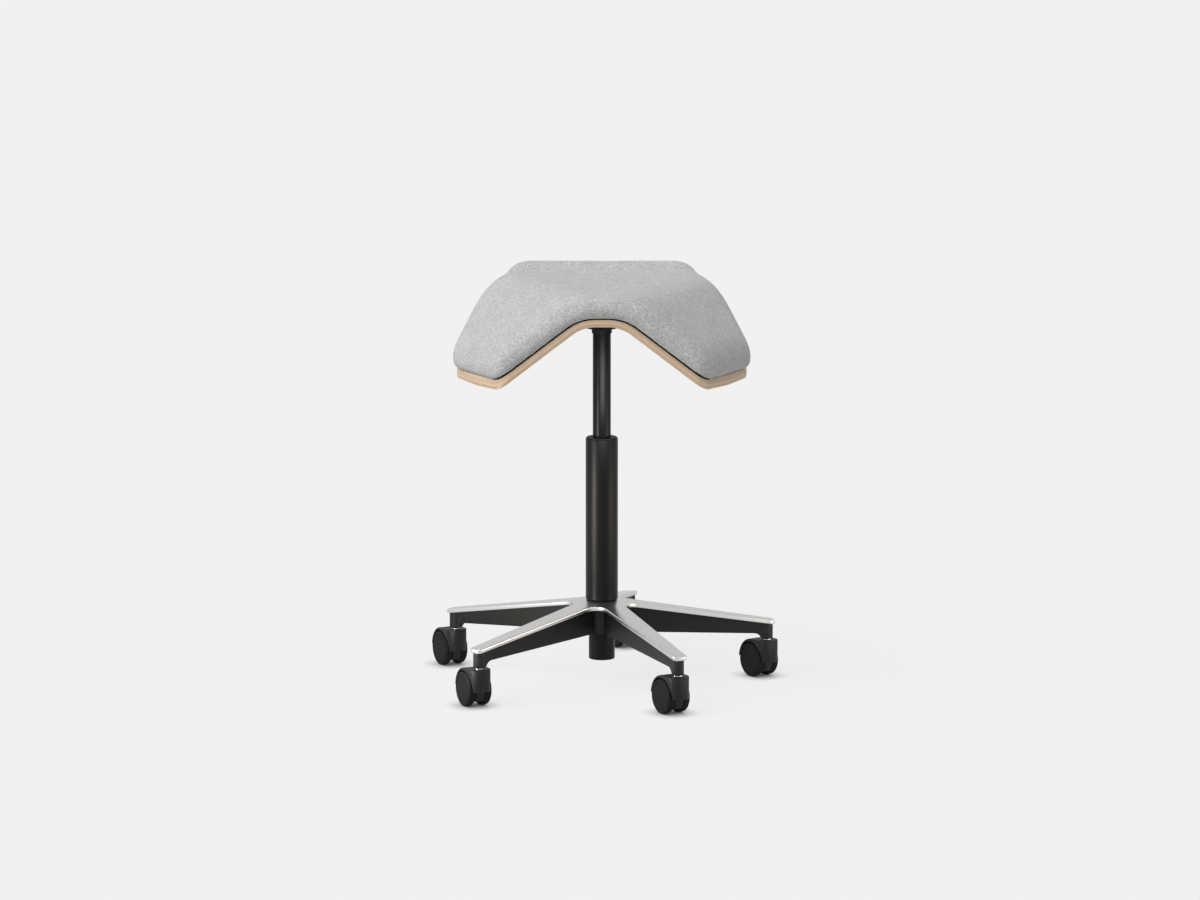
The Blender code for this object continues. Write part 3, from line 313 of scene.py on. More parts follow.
def wearGroup():
    # rubbed edges, broken up by noise
    group, given, result = newGroup("edgeWear", [("Amount", number, 0.5)], [("Mask", number)])
    place = group.nodes.new("ShaderNodeTexCoord")
    bends = group.nodes.new("ShaderNodeNewGeometry")
    noise = addNode(group, "ShaderNodeTexNoise", Scale=90.0, Detail=4.0)
    group.links.new(place.outputs["Object"], noise.inputs["Vector"])
    edge = rangeNode(group, bends.outputs["Pointiness"], 0.52, 0.62)
    patchy = rangeNode(group, noise.outputs["Fac"], 0.35, 0.65, 0.35, 1.0)
    worn = mathNode(group, "MULTIPLY", edge, patchy)
    group.links.new(mathNode(group, "MULTIPLY", worn, given.outputs["Amount"]), result.inputs["Mask"])
    return group


mottle = mottleGroup()
fineGrain = grainGroup()
edgeWear = wearGroup()


def placeGroup(tree, group, **inputs):
    node = tree.nodes.new("ShaderNodeGroup")
    node.node_tree = group
    for key, value in inputs.items():
        node.inputs[key].default_value = value
    return node


def newMaterial(name, **sockets):
    material = bpy.data.materials.new(name)
    material.use_nodes = True
    shader = material.node_tree.nodes["Principled BSDF"]
    for key, value in sockets.items():
        shader.inputs[key.replace("_", " ")].default_value = value
    return material, material.node_tree, shader


def addBump(tree, shader, height, strength, distance):
    bump = addNode(tree, "ShaderNodeBump", Strength=strength, Distance=distance)
    tree.links.new(height, bump.inputs["Height"])
    tree.links.new(bump.outputs["Normal"], shader.inputs["Normal"])


def grey(level, warmth=0.0):
    return (level * (1 + warmth), level, level * (1 - warmth), 1.0)


coatings = {
    # dark tone, light tone, worn tone, drift per metre, roughness range, grain per metre, pits, bump, depth
    "blackTubePaint": dict(dark=grey(0.0055, 0.14), light=grey(0.0072, 0.14), worn=grey(0.05), drift=9.0,
                           rough=(0.37, 0.41), grain=900.0, pits=0.2, bump=0.01, depth=0.0001,
                           sockets=dict(Metallic=0.0, Specular_IOR_Level=0.14)),
    "liftTubePaint": dict(dark=grey(0.0045, -0.03), light=grey(0.0060, -0.03), worn=grey(0.04), drift=12.0,
                          rough=(0.31, 0.35), grain=1100.0, pits=0.15, bump=0.01, depth=0.0001,
                          sockets=dict(Metallic=0.0, Specular_IOR_Level=0.115)),
    # a darker copy of the black casting paint for the plate under the seat: painted shade
    "shadedHousingPaint": dict(dark=grey(0.0040, 0.10), light=grey(0.0060, 0.10), worn=grey(0.03), drift=16.0,
                         rough=(0.48, 0.58), grain=650.0, pits=0.6, bump=0.10, depth=0.0003,
                         sockets=dict(Metallic=0.0, Specular_IOR_Level=0.05)),
    "castingPaint": dict(dark=grey(0.0105, 0.14), light=grey(0.0150, 0.14), worn=grey(0.05, 0.04), drift=16.0,
                         rough=(0.42, 0.52), grain=650.0, pits=0.6, bump=0.12, depth=0.0003,
                         sockets=dict(Metallic=0.0, Specular_IOR_Level=0.22)),
    "castorPlastic": dict(dark=grey(0.0110, 0.06), light=grey(0.0145, 0.06), worn=grey(0.026), drift=40.0,
                          rough=(0.46, 0.56), grain=1500.0, pits=0.5, bump=0.10, depth=0.0003,
                          sockets=dict(Metallic=0.0, Specular_IOR_Level=0.22)),
    "wheelPlastic": dict(dark=grey(0.0075, 0.04), light=grey(0.0105, 0.04), worn=grey(0.016), drift=40.0,
                         rough=(0.60, 0.70), grain=1500.0, pits=0.5, bump=0.10, depth=0.0003,
                         sockets=dict(Metallic=0.0, Specular_IOR_Level=0.12)),
    "bushPlastic": dict(dark=grey(0.007), light=grey(0.010), worn=grey(0.03), drift=40.0,
                        rough=(0.55, 0.65), grain=1500.0, pits=0.4, bump=0.06, depth=0.0003,
                        sockets=dict(Metallic=0.0, Specular_IOR_Level=0.2)),
    "polishedAlloy": dict(dark=grey(0.61, 0.006), light=grey(0.65, 0.006), worn=grey(0.70), drift=14.0,
                          rough=(0.26, 0.31), grain=2600.0, pits=0.05, bump=0.004, depth=0.0001,
                          sockets=dict(Metallic=1.0, Specular_Tint=(0.84, 0.84, 0.83, 1))),
    "brightSteel": dict(dark=grey(0.62), light=grey(0.70), worn=grey(0.8), drift=60.0,
                        rough=(0.10, 0.18), grain=900.0, pits=0.1, bump=0.01, depth=0.0001,
                        sockets=dict(Metallic=1.0)),
    "darkBoard": dict(dark=grey(0.008), light=grey(0.014), worn=grey(0.03), drift=120.0,
                      rough=(0.75, 0.9), grain=500.0, pits=0.8, bump=0.25, depth=0.0005,
                      sockets=dict(Metallic=0.0, Specular_IOR_Level=0.3)),
    "softRubber": dict(dark=grey(0.012), light=grey(0.02), worn=grey(0.03), drift=60.0,
                       rough=(0.7, 0.85), grain=900.0, pits=0.4, bump=0.1, depth=0.0004,
                       sockets=dict(Metallic=0.0, Specular_IOR_Level=0.4)),
}


wearShare = 0.35   # how far a rubbed edge goes to its worn tone


def coating(name):
    look = coatings[name]
    material, tree, shader = newMaterial(name, **look["sockets"])
    tones = placeGroup(tree, mottle, Scale=look["drift"], Dark=look["dark"], Light=look["light"])
    worn = placeGroup(tree, edgeWear, Amount=wearShare)
    tone = mixColour(tree, worn.outputs["Mask"], tones.outputs["Color"], look["worn"])
    tree.links.new(tone, shader.inputs["Base Color"])
    tree.links.new(rangeNode(tree, tones.outputs["Mask"], 0, 1, *look["rough"]), shader.inputs["Roughness"])
    tooth = placeGroup(tree, fineGrain, Scale=look["grain"], Pits=look["pits"])
    addBump(tree, shader, tooth.outputs["Height"], look["bump"], look["depth"])
    return material


feltLook = {
    "dark": (0.170, 0.170, 0.167, 1), "light": (0.850, 0.850, 0.841, 1),
    "blotch": 38.0, "fleck": 350.0, "fibre": 1400.0, "fibreStretch": (1.0, 3.2, 1.6),
    "lays": (0.4, 1.5, 2.6),   # three lays of fibre, crossing
    "blotchShare": 0.06, "fleckShare": 0.62, "fibreShare": 0.42, "bump": 0.45, "depth": 0.0008,
    "sockets": dict(Roughness=0.95, Specular_IOR_Level=0.15, Sheen_Weight=0.25, Sheen_Roughness=0.6),
}


def feltMaterial():
    material, tree, shader = newMaterial("greyFelt", **feltLook["sockets"])
    place = tree.nodes.new("ShaderNodeTexCoord").outputs["Object"]
    blotch = addNode(tree, "ShaderNodeTexNoise", Scale=feltLook["blotch"], Detail=4.0, Roughness=0.6)
    fleck = addNode(tree, "ShaderNodeTexNoise", Scale=feltLook["fleck"], Detail=5.0, Roughness=0.7,
                    Distortion=0.6)
    for node in (blotch, fleck):
        tree.links.new(place, node.inputs["Vector"])
    fibres = []
    for turn in feltLook["lays"]:
        lay = tree.nodes.new("ShaderNodeMapping")
        lay.inputs["Rotation"].default_value = (turn, 0.7 * turn, turn)
        lay.inputs["Scale"].default_value = feltLook["fibreStretch"]
        tree.links.new(place, lay.inputs["Vector"])
        hair = addNode(tree, "ShaderNodeTexNoise", Scale=feltLook["fibre"] / 3, Detail=3.0, Roughness=0.6,
                       Distortion=1.2)
        tree.links.new(lay.outputs["Vector"], hair.inputs["Vector"])
        fibres.append(hair.outputs["Fac"])
    hairs = mathNode(tree, "MAXIMUM", mathNode(tree, "MAXIMUM", fibres[0], fibres[1]), fibres[2])
    flecks = rangeNode(tree, fleck.outputs["Fac"], 0.28, 0.72)
    swing = feltLook["blotchShare"]
    drift = rangeNode(tree, blotch.outputs["Fac"], 0.25, 0.75, -swing, swing)
    spread = mathNode(tree, "MULTIPLY", flecks, feltLook["fleckShare"])
    strand = rangeNode(tree, hairs, 0.45, 0.75, 0.0, feltLook["fibreShare"])
    share = mathNode(tree, "ADD", mathNode(tree, "ADD", spread, strand), drift)
    tone = mixColour(tree, share, feltLook["dark"], feltLook["light"])
    tree.links.new(tone, shader.inputs["Base Color"])
    height = mathNode(tree, "ADD", mathNode(tree, "MULTIPLY", flecks, 0.5), hairs)
    addBump(tree, shader, height, feltLook["bump"], feltLook["depth"])
    return material


plyLook = {
    "layers": 5.0, "faceDark": (0.68, 0.505, 0.35, 1), "faceLight": (0.78, 0.60, 0.435, 1),
    "endDark": (0.62, 0.445, 0.30, 1), "pore": (0.50, 0.345, 0.22, 1), "glue": (0.42, 0.285, 0.18, 1),
    "grain": (26.0, 1.6, 26.0), "poreGrain": (420.0, 9.0, 420.0), "poreShare": 0.55, "glueShare": 0.55,
    "rough": (0.42, 0.56), "bump": 0.12, "depth": 0.0006,
    "sockets": dict(Specular_IOR_Level=0.4, Coat_Weight=0.12, Coat_Roughness=0.35),
}


def plyMaterial():
    material, tree, shader = newMaterial("oakPly", **plyLook["sockets"])
    place = tree.nodes.new("ShaderNodeTexCoord").outputs["Object"]

    def grained(stretch, detail, distortion):
        lay = tree.nodes.new("ShaderNodeMapping")
        lay.inputs["Scale"].default_value = stretch
        tree.links.new(place, lay.inputs["Vector"])
        noise = addNode(tree, "ShaderNodeTexNoise", Scale=1.0, Detail=detail, Roughness=0.6,
                        Distortion=distortion)
        tree.links.new(lay.outputs["Vector"], noise.inputs["Vector"])
        return noise.outputs["Fac"]

    figure = grained(plyLook["grain"], 6.0, 0.8)
    pores = grained(plyLook["poreGrain"], 3.0, 0.2)
    face = mixColour(tree, rangeNode(tree, figure, 0.32, 0.68), plyLook["faceDark"], plyLook["faceLight"])
    poreMask = rangeNode(tree, pores, 0.60, 0.72, 0.0, plyLook["poreShare"])
    face = mixColour(tree, poreMask, face, plyLook["pore"])
    # the edge shows the layers: long grain, end grain and the glue between them
    depth = tree.nodes.new("ShaderNodeAttribute")
    depth.attribute_name = "plyDepth"
    layer = mathNode(tree, "MULTIPLY", depth.outputs["Fac"], plyLook["layers"])
    wave = mathNode(tree, "PINGPONG", layer, 1.0)
    across = rangeNode(tree, wave, 0.42, 0.58)
    edge = mixColour(tree, across, face, plyLook["endDark"])
    seam = mathNode(tree, "ABSOLUTE", mathNode(tree, "SUBTRACT", wave, 0.5), 0.0)
    seamMask = rangeNode(tree, seam, 0.06, 0.14, plyLook["glueShare"], 0.0)
    edge = mixColour(tree, seamMask, edge, plyLook["glue"])
    insideEdge = mathNode(tree, "MULTIPLY", rangeNode(tree, depth.outputs["Fac"], 0.02, 0.06),
                          rangeNode(tree, depth.outputs["Fac"], 0.98, 0.94))
    tone = mixColour(tree, insideEdge, face, edge)
    tree.links.new(tone, shader.inputs["Base Color"])
    tree.links.new(rangeNode(tree, figure, 0.3, 0.7, *plyLook["rough"]), shader.inputs["Roughness"])
    height = mathNode(tree, "SUBTRACT", figure, poreMask)
    addBump(tree, shader, height, plyLook["bump"], plyLook["depth"])
    return material


felt = feltMaterial()
oakPly = plyMaterial()
finish = {name: coating(name) for name in coatings}
print("finishes made:", len(finish) + 2)

# base: polished alloy star on black ribs, hub and sockets

star = {
    "arms": 5, "firstArm": math.radians(-63.77), "circle": 0.26035, "overhang": 0.0112,
    "tipHalf": 0.0112, "rootHalf": 0.0187, "tipRounding": 0.007, "valleyRounding": 0.0217,
    "topAtCircle": 0.093768, "slope": math.tan(math.radians(9.2)), "flange": 0.006, "edge": 0.0013,
    "socketLow": 0.062568, "socketRadius": 0.0092, "ribThickness": 0.013, "ribTipDepth": 0.0235,
    "ribFillet": 0.012, "hubRadius": 0.0232, "hubLow": 0.081348, "boreTop": 0.0225, "boreLow": 0.0205,
    "boreTaper": 0.052, "stemBore": 0.0058, "stemBoreTop": 0.0849, "boreAbove": 0.02, "boreBelow": 0.07,
    "lap": 0.0004, "lift": 0.0006, "ribStart": 0.004, "castEdge": 0.0012, "squareDepth": 0.008,
    "stemBoreOver": 0.002,
}
armAngles = [star["firstArm"] + index * fullTurn / star["arms"] for index in range(star["arms"])]
stemPlaces = [(star["circle"] * math.cos(a), star["circle"] * math.sin(a), 0) for a in armAngles]


def armTop(radius):
    return star["topAtCircle"] + star["slope"] * (star["circle"] - radius)


def turnedPoint(x, y, angle):
    return x * math.cos(angle) - y * math.sin(angle), x * math.sin(angle) + y * math.cos(angle)


def columnBore(name):
    high = armTop(star["boreTop"])
    above, below = high + star["boreAbove"], high - star["boreBelow"]
    return spunPiece(name, [(0, above), (star["boreTop"], above), (star["boreTop"], high),
                            (star["boreLow"], high - star["boreTaper"]), (star["boreLow"], below),
                            (0, below)], 72)


def makeStarTop():
    halfStep = math.pi / star["arms"]
    tip = star["circle"] + star["overhang"]
    corners = []
    for angle in armAngles:
        corners.append((*turnedPoint(star["rootHalf"] / math.sin(halfStep), 0, angle - halfStep),
                        star["valleyRounding"]))
        corners.append((*turnedPoint(tip, -star["tipHalf"], angle), star["tipRounding"]))
        corners.append((*turnedPoint(tip, star["tipHalf"], angle), star["tipRounding"]))
    outline = [(x, y, 0) for x, y in roundedOutline(corners, 8)]
    top = platePiece("starTop", outline, (0, 0, -star["flange"]))
    openEdit(top, "EDGE")
    selectEdges(top, lambda edge: all(abs(v.co.z) < 1e-6 for v in edge.verts))
    bpy.ops.mesh.bevel(offset=star["edge"], segments=3, affect="EDGES", clamp_overlap=True)
    bpy.ops.mesh.select_all(action="DESELECT")
    selectEdges(top, lambda edge: all(abs(v.co.z + star["flange"]) < 1e-6 for v in edge.verts))
    bpy.ops.mesh.bevel(offset=star["edge"] / 2, segments=2, affect="EDGES", clamp_overlap=True)
    bpy.ops.mesh.select_mode(type="FACE")
    bpy.ops.mesh.select_all(action="DESELECT")
    selectFaces(top, lambda face: len(face.verts) > 20)
    bpy.ops.mesh.poke()            # both broad faces become fans, so that they can fall towards the tips
    mesh = bmesh.from_edit_mesh(top.data)
    for vert in mesh.verts:
        vert.co.z += armTop(math.hypot(vert.co.x, vert.co.y))
    bmesh.update_edit_mesh(top.data)
    closeEdit()
    cut(top, columnBore("topBore"))
    shade(top, 30)
    return top


def ribPiece(name):
    face = star["circle"] - star["socketRadius"]
    tipLow = armTop(face) - star["ribTipDepth"]
    bury = star["flange"] - star["lap"]
    fillet = arcPoints((face - star["ribFillet"], tipLow - star["ribFillet"]), star["ribFillet"],
                       math.pi / 2, 0, 12)
    fillet = [(x, z) for x, z in fillet if z > star["socketLow"] + star["lift"]]
    low = max(star["socketLow"] + star["lift"], tipLow - star["ribFillet"])
    start = star["ribStart"]
    side = [(start, star["hubLow"] + star["lift"]), *fillet, (face + star["socketRadius"] / 2, low),
            (star["circle"], armTop(star["circle"]) - bury), (start, armTop(start) - bury)]
    half = star["ribThickness"] / 2
    rib = platePiece(name, [(x, -half, z) for x, z in side], (0, 2 * half, 0))
    openEdit(rib, "EDGE")

    def lowerEdge(edge):
        middle = (edge.verts[0].co + edge.verts[1].co) / 2
        along = (edge.verts[1].co - edge.verts[0].co).normalized()
        under = middle.z < armTop(middle.x) - star["flange"] - star["squareDepth"]
        return under and abs(along.y) < 0.1 and start + 0.001 < middle.x < face + 0.001

    selectEdges(rib, lowerEdge)
    bpy.ops.mesh.bevel(offset=star["castEdge"], segments=3, affect="EDGES", clamp_overlap=True)
    closeEdit()
    return rib


def makeStarFrame():
    hubTop = armTop(star["hubRadius"]) - star["flange"] + star["lap"]
    edge = star["castEdge"]
    hub = [(0, star["hubLow"]), (star["hubRadius"] - edge, star["hubLow"]),
           *arcPoints((star["hubRadius"] - edge, star["hubLow"] + edge), edge, -math.pi / 3, 0, 3),
           (star["hubRadius"], hubTop), (0, hubTop)]
    body = spunPiece("starFrame", hub, 72)
    rib = ribPiece("ribPattern")
    radius = star["socketRadius"]
    low = star["socketLow"]
    socketTop = star["topAtCircle"] - star["flange"] + star["lap"]
    socket = spunPiece("socketPattern", [(0, low), (radius - edge, low),
                                         *arcPoints((radius - edge, low + edge), edge, -math.pi / 3, 0, 3),
                                         (radius, socketTop), (0, socketTop)], 40)
    for angle, place in zip(armAngles, stemPlaces):
        cut(body, meshCopy(rib, "ribTool", angle), "UNION")
        cut(body, meshCopy(socket, "socketTool", 0, place), "UNION")
    bpy.data.objects.remove(rib, do_unlink=True)
    bpy.data.objects.remove(socket, do_unlink=True)
    boreLow = low - star["stemBoreOver"]
    stem = spunPiece("stemBorePattern", [(0, boreLow), (star["stemBore"], boreLow),
                                         (star["stemBore"], star["stemBoreTop"]),
                                         (0, star["stemBoreTop"])], 32)
    for place in stemPlaces:
        cut(body, meshCopy(stem, "stemTool", 0, place))
    bpy.data.objects.remove(stem, do_unlink=True)
    cut(body, columnBore("frameBore"))
    shade(body, 30)
    return body


starTop = makeStarTop()
starFrame = makeStarFrame()
finishPiece(starTop, finish["polishedAlloy"], "aluminium", "base", "star_base")
finishPiece(starFrame, finish["castingPaint"], "black_metal", "base", "star_base")
print("base made")

# column: stand tube with its spigot, guide bush, lift tube

column = {
    "tubeRadius": 0.025, "wall": 0.0018, "shoulder": 0.133548, "top": 0.385548, "low": 0.038948,
    "spigotTop": 0.0222, "spigotLow": 0.0202, "taper": 0.052, "taperTop": 0.132348,
    "floor": 0.044948, "floorTop": 0.047948, "hole": 0.0043, "steps": 96,
    "bushLip": 0.0238, "bushLipHeight": 0.0018, "bushLow": 0.305548, "gap": 0.0003,
    "liftRadius": 0.014, "liftWall": 0.002, "liftLow": 0.223148, "liftTop": 0.567348, "collar": 0.550048,
    "liftNeck": 0.0133, "pinHole": 0.0028, "liftLip": 0.0015, "liftCap": 0.006,
    "footEdge": 0.0012, "rimEdge": 0.0005, "bushLead": 0.0006, "bushLowEdge": 0.0003, "bushTopEdge": 0.0008,
    "liftEdge": 0.0008,
}


def eased(x, z, edge, quarter):
    # small round on a turned corner: quarter 0 is outer top, 1 inner top, 2 inner bottom, 3 outer bottom
    signs = ((-1, -1), (1, -1), (1, 1), (-1, 1))[quarter]
    centre = (x + signs[0] * edge, z + signs[1] * edge)
    start = quarter * math.pi / 2
    return arcPoints(centre, edge, start, start + math.pi / 2, 4)


def makeStandTube():
    c = column
    bore = c["spigotLow"] - c["wall"]
    inside = c["tubeRadius"] - c["wall"]
    outer = [*eased(c["tubeRadius"], c["shoulder"], c["footEdge"], 3),
             *eased(c["tubeRadius"], c["top"], c["rimEdge"], 0)]
    inner = [(inside, c["top"]), (inside, c["shoulder"] + c["wall"]),
             (c["spigotTop"] - c["wall"], c["taperTop"]), (bore, c["taperTop"] - c["taper"]),
             (bore, c["floorTop"]), (c["hole"], c["floorTop"]), (c["hole"], c["floor"]), (bore, c["floor"]),
             (bore, c["low"])]
    foot = [*eased(c["spigotLow"], c["low"], c["footEdge"], 3), (c["spigotLow"], c["taperTop"] - c["taper"]),
            (c["spigotTop"], c["taperTop"])]
    tube = spunPiece("standTube", [*outer, *inner, *foot, outer[0]], c["steps"])
    shade(tube)
    return tube


def makeGuideBush():
    c = column
    inner = c["liftRadius"] + c["gap"]
    lipLow = c["top"] + c["gap"]
    lipTop = lipLow + c["bushLipHeight"]
    sleeve = c["tubeRadius"] - c["wall"] - c["gap"]
    profile = [(inner + c["bushLead"], lipTop), (inner, lipTop - c["bushLead"]), (inner, c["bushLow"]),
               (sleeve, c["bushLow"]), (sleeve, lipLow), *eased(c["bushLip"], lipLow, c["bushLowEdge"], 3),
               *eased(c["bushLip"], lipTop, c["bushTopEdge"], 0)]
    bush = spunPiece("guideBush", [*profile, profile[0]], c["steps"])
    shade(bush)
    return bush


def makeLiftTube():
    c = column
    bore = c["liftRadius"] - c["liftWall"]
    lip = bore - c["liftLip"]
    capLow = c["liftTop"] - c["liftCap"]
    lipTop = c["liftLow"] + c["liftLip"]
    profile = [(c["pinHole"], c["liftTop"]), (c["pinHole"], capLow), (bore, capLow), (bore, lipTop),
               (lip, lipTop), (lip, c["liftLow"]), *eased(c["liftRadius"], c["liftLow"], c["liftEdge"], 3),
               (c["liftRadius"], c["collar"]), *eased(c["liftNeck"], c["liftTop"], c["rimEdge"], 0)]
    tube = spunPiece("liftTube", [*profile, profile[0]], c["steps"])
    shade(tube)
    return tube


finishPiece(makeStandTube(), finish["blackTubePaint"], "black_metal", "base", "stand_tube")
finishPiece(makeGuideBush(), finish["bushPlastic"], "black_plastic", "base", "guide_bush")
finishPiece(makeLiftTube(), finish["liftTubePaint"], "black_metal", "seat", "lift_tube")
print("column made")

# castors, modelled once about the stem's axis with the wheels trailing to +Y

castor = {
    "yaws": (30.5, 34, 29, 27, 26), "trail": 0.0207, "axleZ": 0.026668, "wheelRadius": 0.02664,
    "wheelWidth": 0.0118, "spacing": 0.0144, "bore": 0.0033, "boreDepth": 0.0071, "innerRound": 0.0030,
    "outerRound": 0.0030, "groove": ((0.0046, 0.0001), (0.0050, 0.0006), (0.0056, 0.0006), (0.0062, 0.0001)),
    "discRadius": 0.012, "hoodRadius": 0.0333, "crown": 0.003, "tail": math.radians(5), "nose": 0.0155,
    "noseEdge": 0.002, "noseRounding": 0.0155, "rearRounding": 0.0003, "sideInset": 0.0018, "over": 0.002,
    "skirtDrop": 0.0005, "webDrop": 0.0172, "webRadius": 0.0262, "space": 0.0291, "sideGap": 0.0004,
    "stem": 0.0055, "stemGap": 0.0003, "stemPocket": 0.02, "stemCollar": 0.0075, "collarEdge": 0.0004,
    "collarLow": 0.060268, "collarTop": 0.062268, "stemLow": 0.043968, "stemTop": 0.084568, "edge": 0.0006,
}


def makeWheel(name, side):
    c = castor
    r, w = c["wheelRadius"], c["wheelWidth"]
    inner, outer = c["innerRound"], c["outerRound"]
    profile = [(0, c["boreDepth"]), (c["bore"], c["boreDepth"]), (c["bore"], 0.0),
               *arcPoints((r - inner, inner), inner, -math.pi / 2, 0, 10),
               *arcPoints((r - outer, w - outer), outer, 0, math.pi / 2, 6),
               *[(r - into, w - deep) for into, deep in c["groove"]], (c["discRadius"], w), (0, w)]
    wheel = spunPiece(name, profile, 72)
    settle(wheel, (0, math.pi / 2, 0))
    if side < 0:
        settle(wheel, (0, 0, math.pi))
    settle(wheel, (0, 0, 0), (side * c["spacing"] / 2, c["trail"], c["axleZ"]))
    shade(wheel, 25)
    return wheel


def makeHood(name):
    c = castor
    half = c["spacing"] / 2 + c["wheelWidth"]
    top = c["axleZ"] + c["hoodRadius"]
    crown = arcPoints((c["trail"] - c["crown"], c["axleZ"]), c["hoodRadius"], c["tail"], math.pi / 2, 28)
    nose = arcPoints((-c["nose"] + c["noseEdge"], top - c["noseEdge"]), c["noseEdge"],
                     math.pi / 2, math.pi, 5)
    skirt = c["axleZ"] - c["skirtDrop"]
    webStart = math.pi + math.asin(c["skirtDrop"] / c["webRadius"])
    webEnd = math.pi + math.asin(c["webDrop"] / c["webRadius"])
    web = arcPoints((c["trail"], c["axleZ"]), c["webRadius"], webStart, webEnd, 12)
    side = [*crown, *nose, (-c["nose"], skirt), *web,
            (c["trail"] + c["webDrop"] / 2, c["axleZ"] - c["webDrop"])]
    reach = half + c["over"]
    hood = platePiece(name, [(-reach, y, z) for y, z in side], (2 * reach, 0, 0))
    edge = half - c["sideInset"]
    rear = c["trail"] + c["hoodRadius"] + c["over"]
    plan = roundedOutline([(-edge, -c["nose"], c["noseRounding"]), (edge, -c["nose"], c["noseRounding"]),
                           (edge, rear, c["rearRounding"]), (-edge, rear, c["rearRounding"])], 12)
    cut(hood, platePiece("planTool", [(x, y, 0) for x, y in plan], (0, 0, top + c["over"])), "INTERSECT")
    inner = c["spacing"] / 2 - c["sideGap"]
    for sign in (-1, 1):
        bpy.ops.mesh.primitive_cylinder_add(vertices=80, radius=c["space"], depth=reach,
                                            location=(sign * (inner + reach / 2), c["trail"], c["axleZ"]),
                                            rotation=(0, math.pi / 2, 0))
        cut(hood, bpy.context.object)
    bpy.ops.mesh.primitive_cylinder_add(vertices=24, radius=c["bore"], depth=2 * reach,
                                        location=(0, c["trail"], c["axleZ"]), rotation=(0, math.pi / 2, 0))
    cut(hood, bpy.context.object)
    pocketMiddle = c["stemLow"] - c["stemGap"] + c["stemPocket"] / 2
    bpy.ops.mesh.primitive_cylinder_add(vertices=32, radius=c["stem"] + c["stemGap"], depth=c["stemPocket"],
                                        location=(0, 0, pocketMiddle))
    cut(hood, bpy.context.object)
    softEdges(hood, c["edge"], 2, 40)
    shade(hood, 35)
    return hood


def makeStem(name):
    c = castor
    profile = [(0, c["stemLow"]), (c["stem"], c["stemLow"]), (c["stem"], c["collarLow"]),
               *eased(c["stemCollar"], c["collarLow"], c["collarEdge"], 3),
               *eased(c["stemCollar"], c["collarTop"], c["collarEdge"], 0),
               (c["stem"], c["collarTop"]), (c["stem"], c["stemTop"]), (0, c["stemTop"])]
    stem = spunPiece(name, profile, 48)
    shade(stem)
    return stem


def placeCastors():
    hood = makeHood("hoodPattern")
    stem = makeStem("stemPattern")
    wheels = {"a": makeWheel("wheelPatternA", -1), "b": makeWheel("wheelPatternB", 1)}
    for count, (place, degrees) in enumerate(zip(stemPlaces, castor["yaws"]), 1):
        body = f"castor_{count}"
        yaw = math.radians(degrees)
        finishPiece(meshCopy(hood, f"castorHood{count}", yaw, place), finish["castorPlastic"],
                    "black_plastic", body, f"castor_{count}_hood")
        finishPiece(meshCopy(stem, f"castorStem{count}", yaw, place), finish["brightSteel"],
                    "steel", nodes[f"castor_{count}_stem"]["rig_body"], f"castor_{count}_stem")
        for side, wheel in wheels.items():
            finishPiece(meshCopy(wheel, f"castorWheel{count}{side}", yaw, place), finish["wheelPlastic"],
                        "black_plastic", f"castor_{count}_roller_{side}", f"castor_{count}_wheel_{side}")
    for pattern in (hood, stem, *wheels.values()):
        bpy.data.objects.remove(pattern, do_unlink=True)


placeCastors()
print("castors made")

# seat shell: flat plate with cut fold lines, then bent

seat = {
    "front": -0.150, "rear": 0.1645, "z": 0.592439,
    "corners": ((0.1571, -0.150, 0.026), (0.1936, -0.0799, 0.60), (0.2256, -0.0077, 0.032),
                (0.1909, 0.0818, 0.060), (0.1343, 0.1645, 0.028)),
    "foldRadius": 0.060, "foldAngle": math.radians(40), "foldSpread": math.radians(24.6), "foldStart": 0.0082,
    "lipRadius": 0.060, "lipAngle": math.radians(36.5), "lipLength": 0.0372,
    "ply": 0.0122, "plyEdge": 0.0054, "topEdge": 0.0036, "foldLines": 20, "lipLines": 12, "lipPast": 1.2,
    "cornerSteps": 12,
}


def seatHeight(x, y, offset):
    s = seat
    radius = s["foldRadius"] + offset
    across, back = abs(x) - s["foldStart"], y - s["front"]
    past = across * math.cos(s["foldSpread"]) - back * math.sin(s["foldSpread"])
    bendEnd = radius * math.sin(s["foldAngle"])
    onBend = min(max(past, 0), bendEnd)
    fall = radius - math.sqrt(radius ** 2 - onBend ** 2) + max(past - bendEnd, 0) * math.tan(s["foldAngle"])
    lipRadius = s["lipRadius"] - offset
    intoLip = max(y - (s["rear"] - s["lipLength"]), 0)
    lipEnd = lipRadius * math.sin(s["lipAngle"])
    onLip = min(intoLip, lipEnd)
    rise = lipRadius - math.sqrt(lipRadius ** 2 - onLip ** 2)
    rise += max(intoLip - lipEnd, 0) * math.tan(s["lipAngle"])
    return s["z"] + offset - fall + rise


def foldLines():
    s = seat
    lines = []
    for share in range(s["foldLines"] + 1):
        past = s["foldRadius"] * math.sin(s["foldAngle"]) * share / s["foldLines"]
        for sign in (-1, 1):
            start = (sign * (s["foldStart"] + past / math.cos(s["foldSpread"])), s["front"], 0)
            lines.append((start, (sign * math.cos(s["foldSpread"]), -math.sin(s["foldSpread"]), 0)))
    for share in range(s["lipLines"] + 1):
        reach = s["lipRadius"] * math.sin(s["lipAngle"]) * s["lipPast"] * share / s["lipLines"]
        lines.append(((0, s["rear"] - s["lipLength"] + reach, 0), (0, 1, 0)))
    return lines


def seatOutline():
    corners = [*seat["corners"], *[(-x, y, r) for x, y, r in reversed(seat["corners"])]]
    return roundedOutline(corners, seat["cornerSteps"])


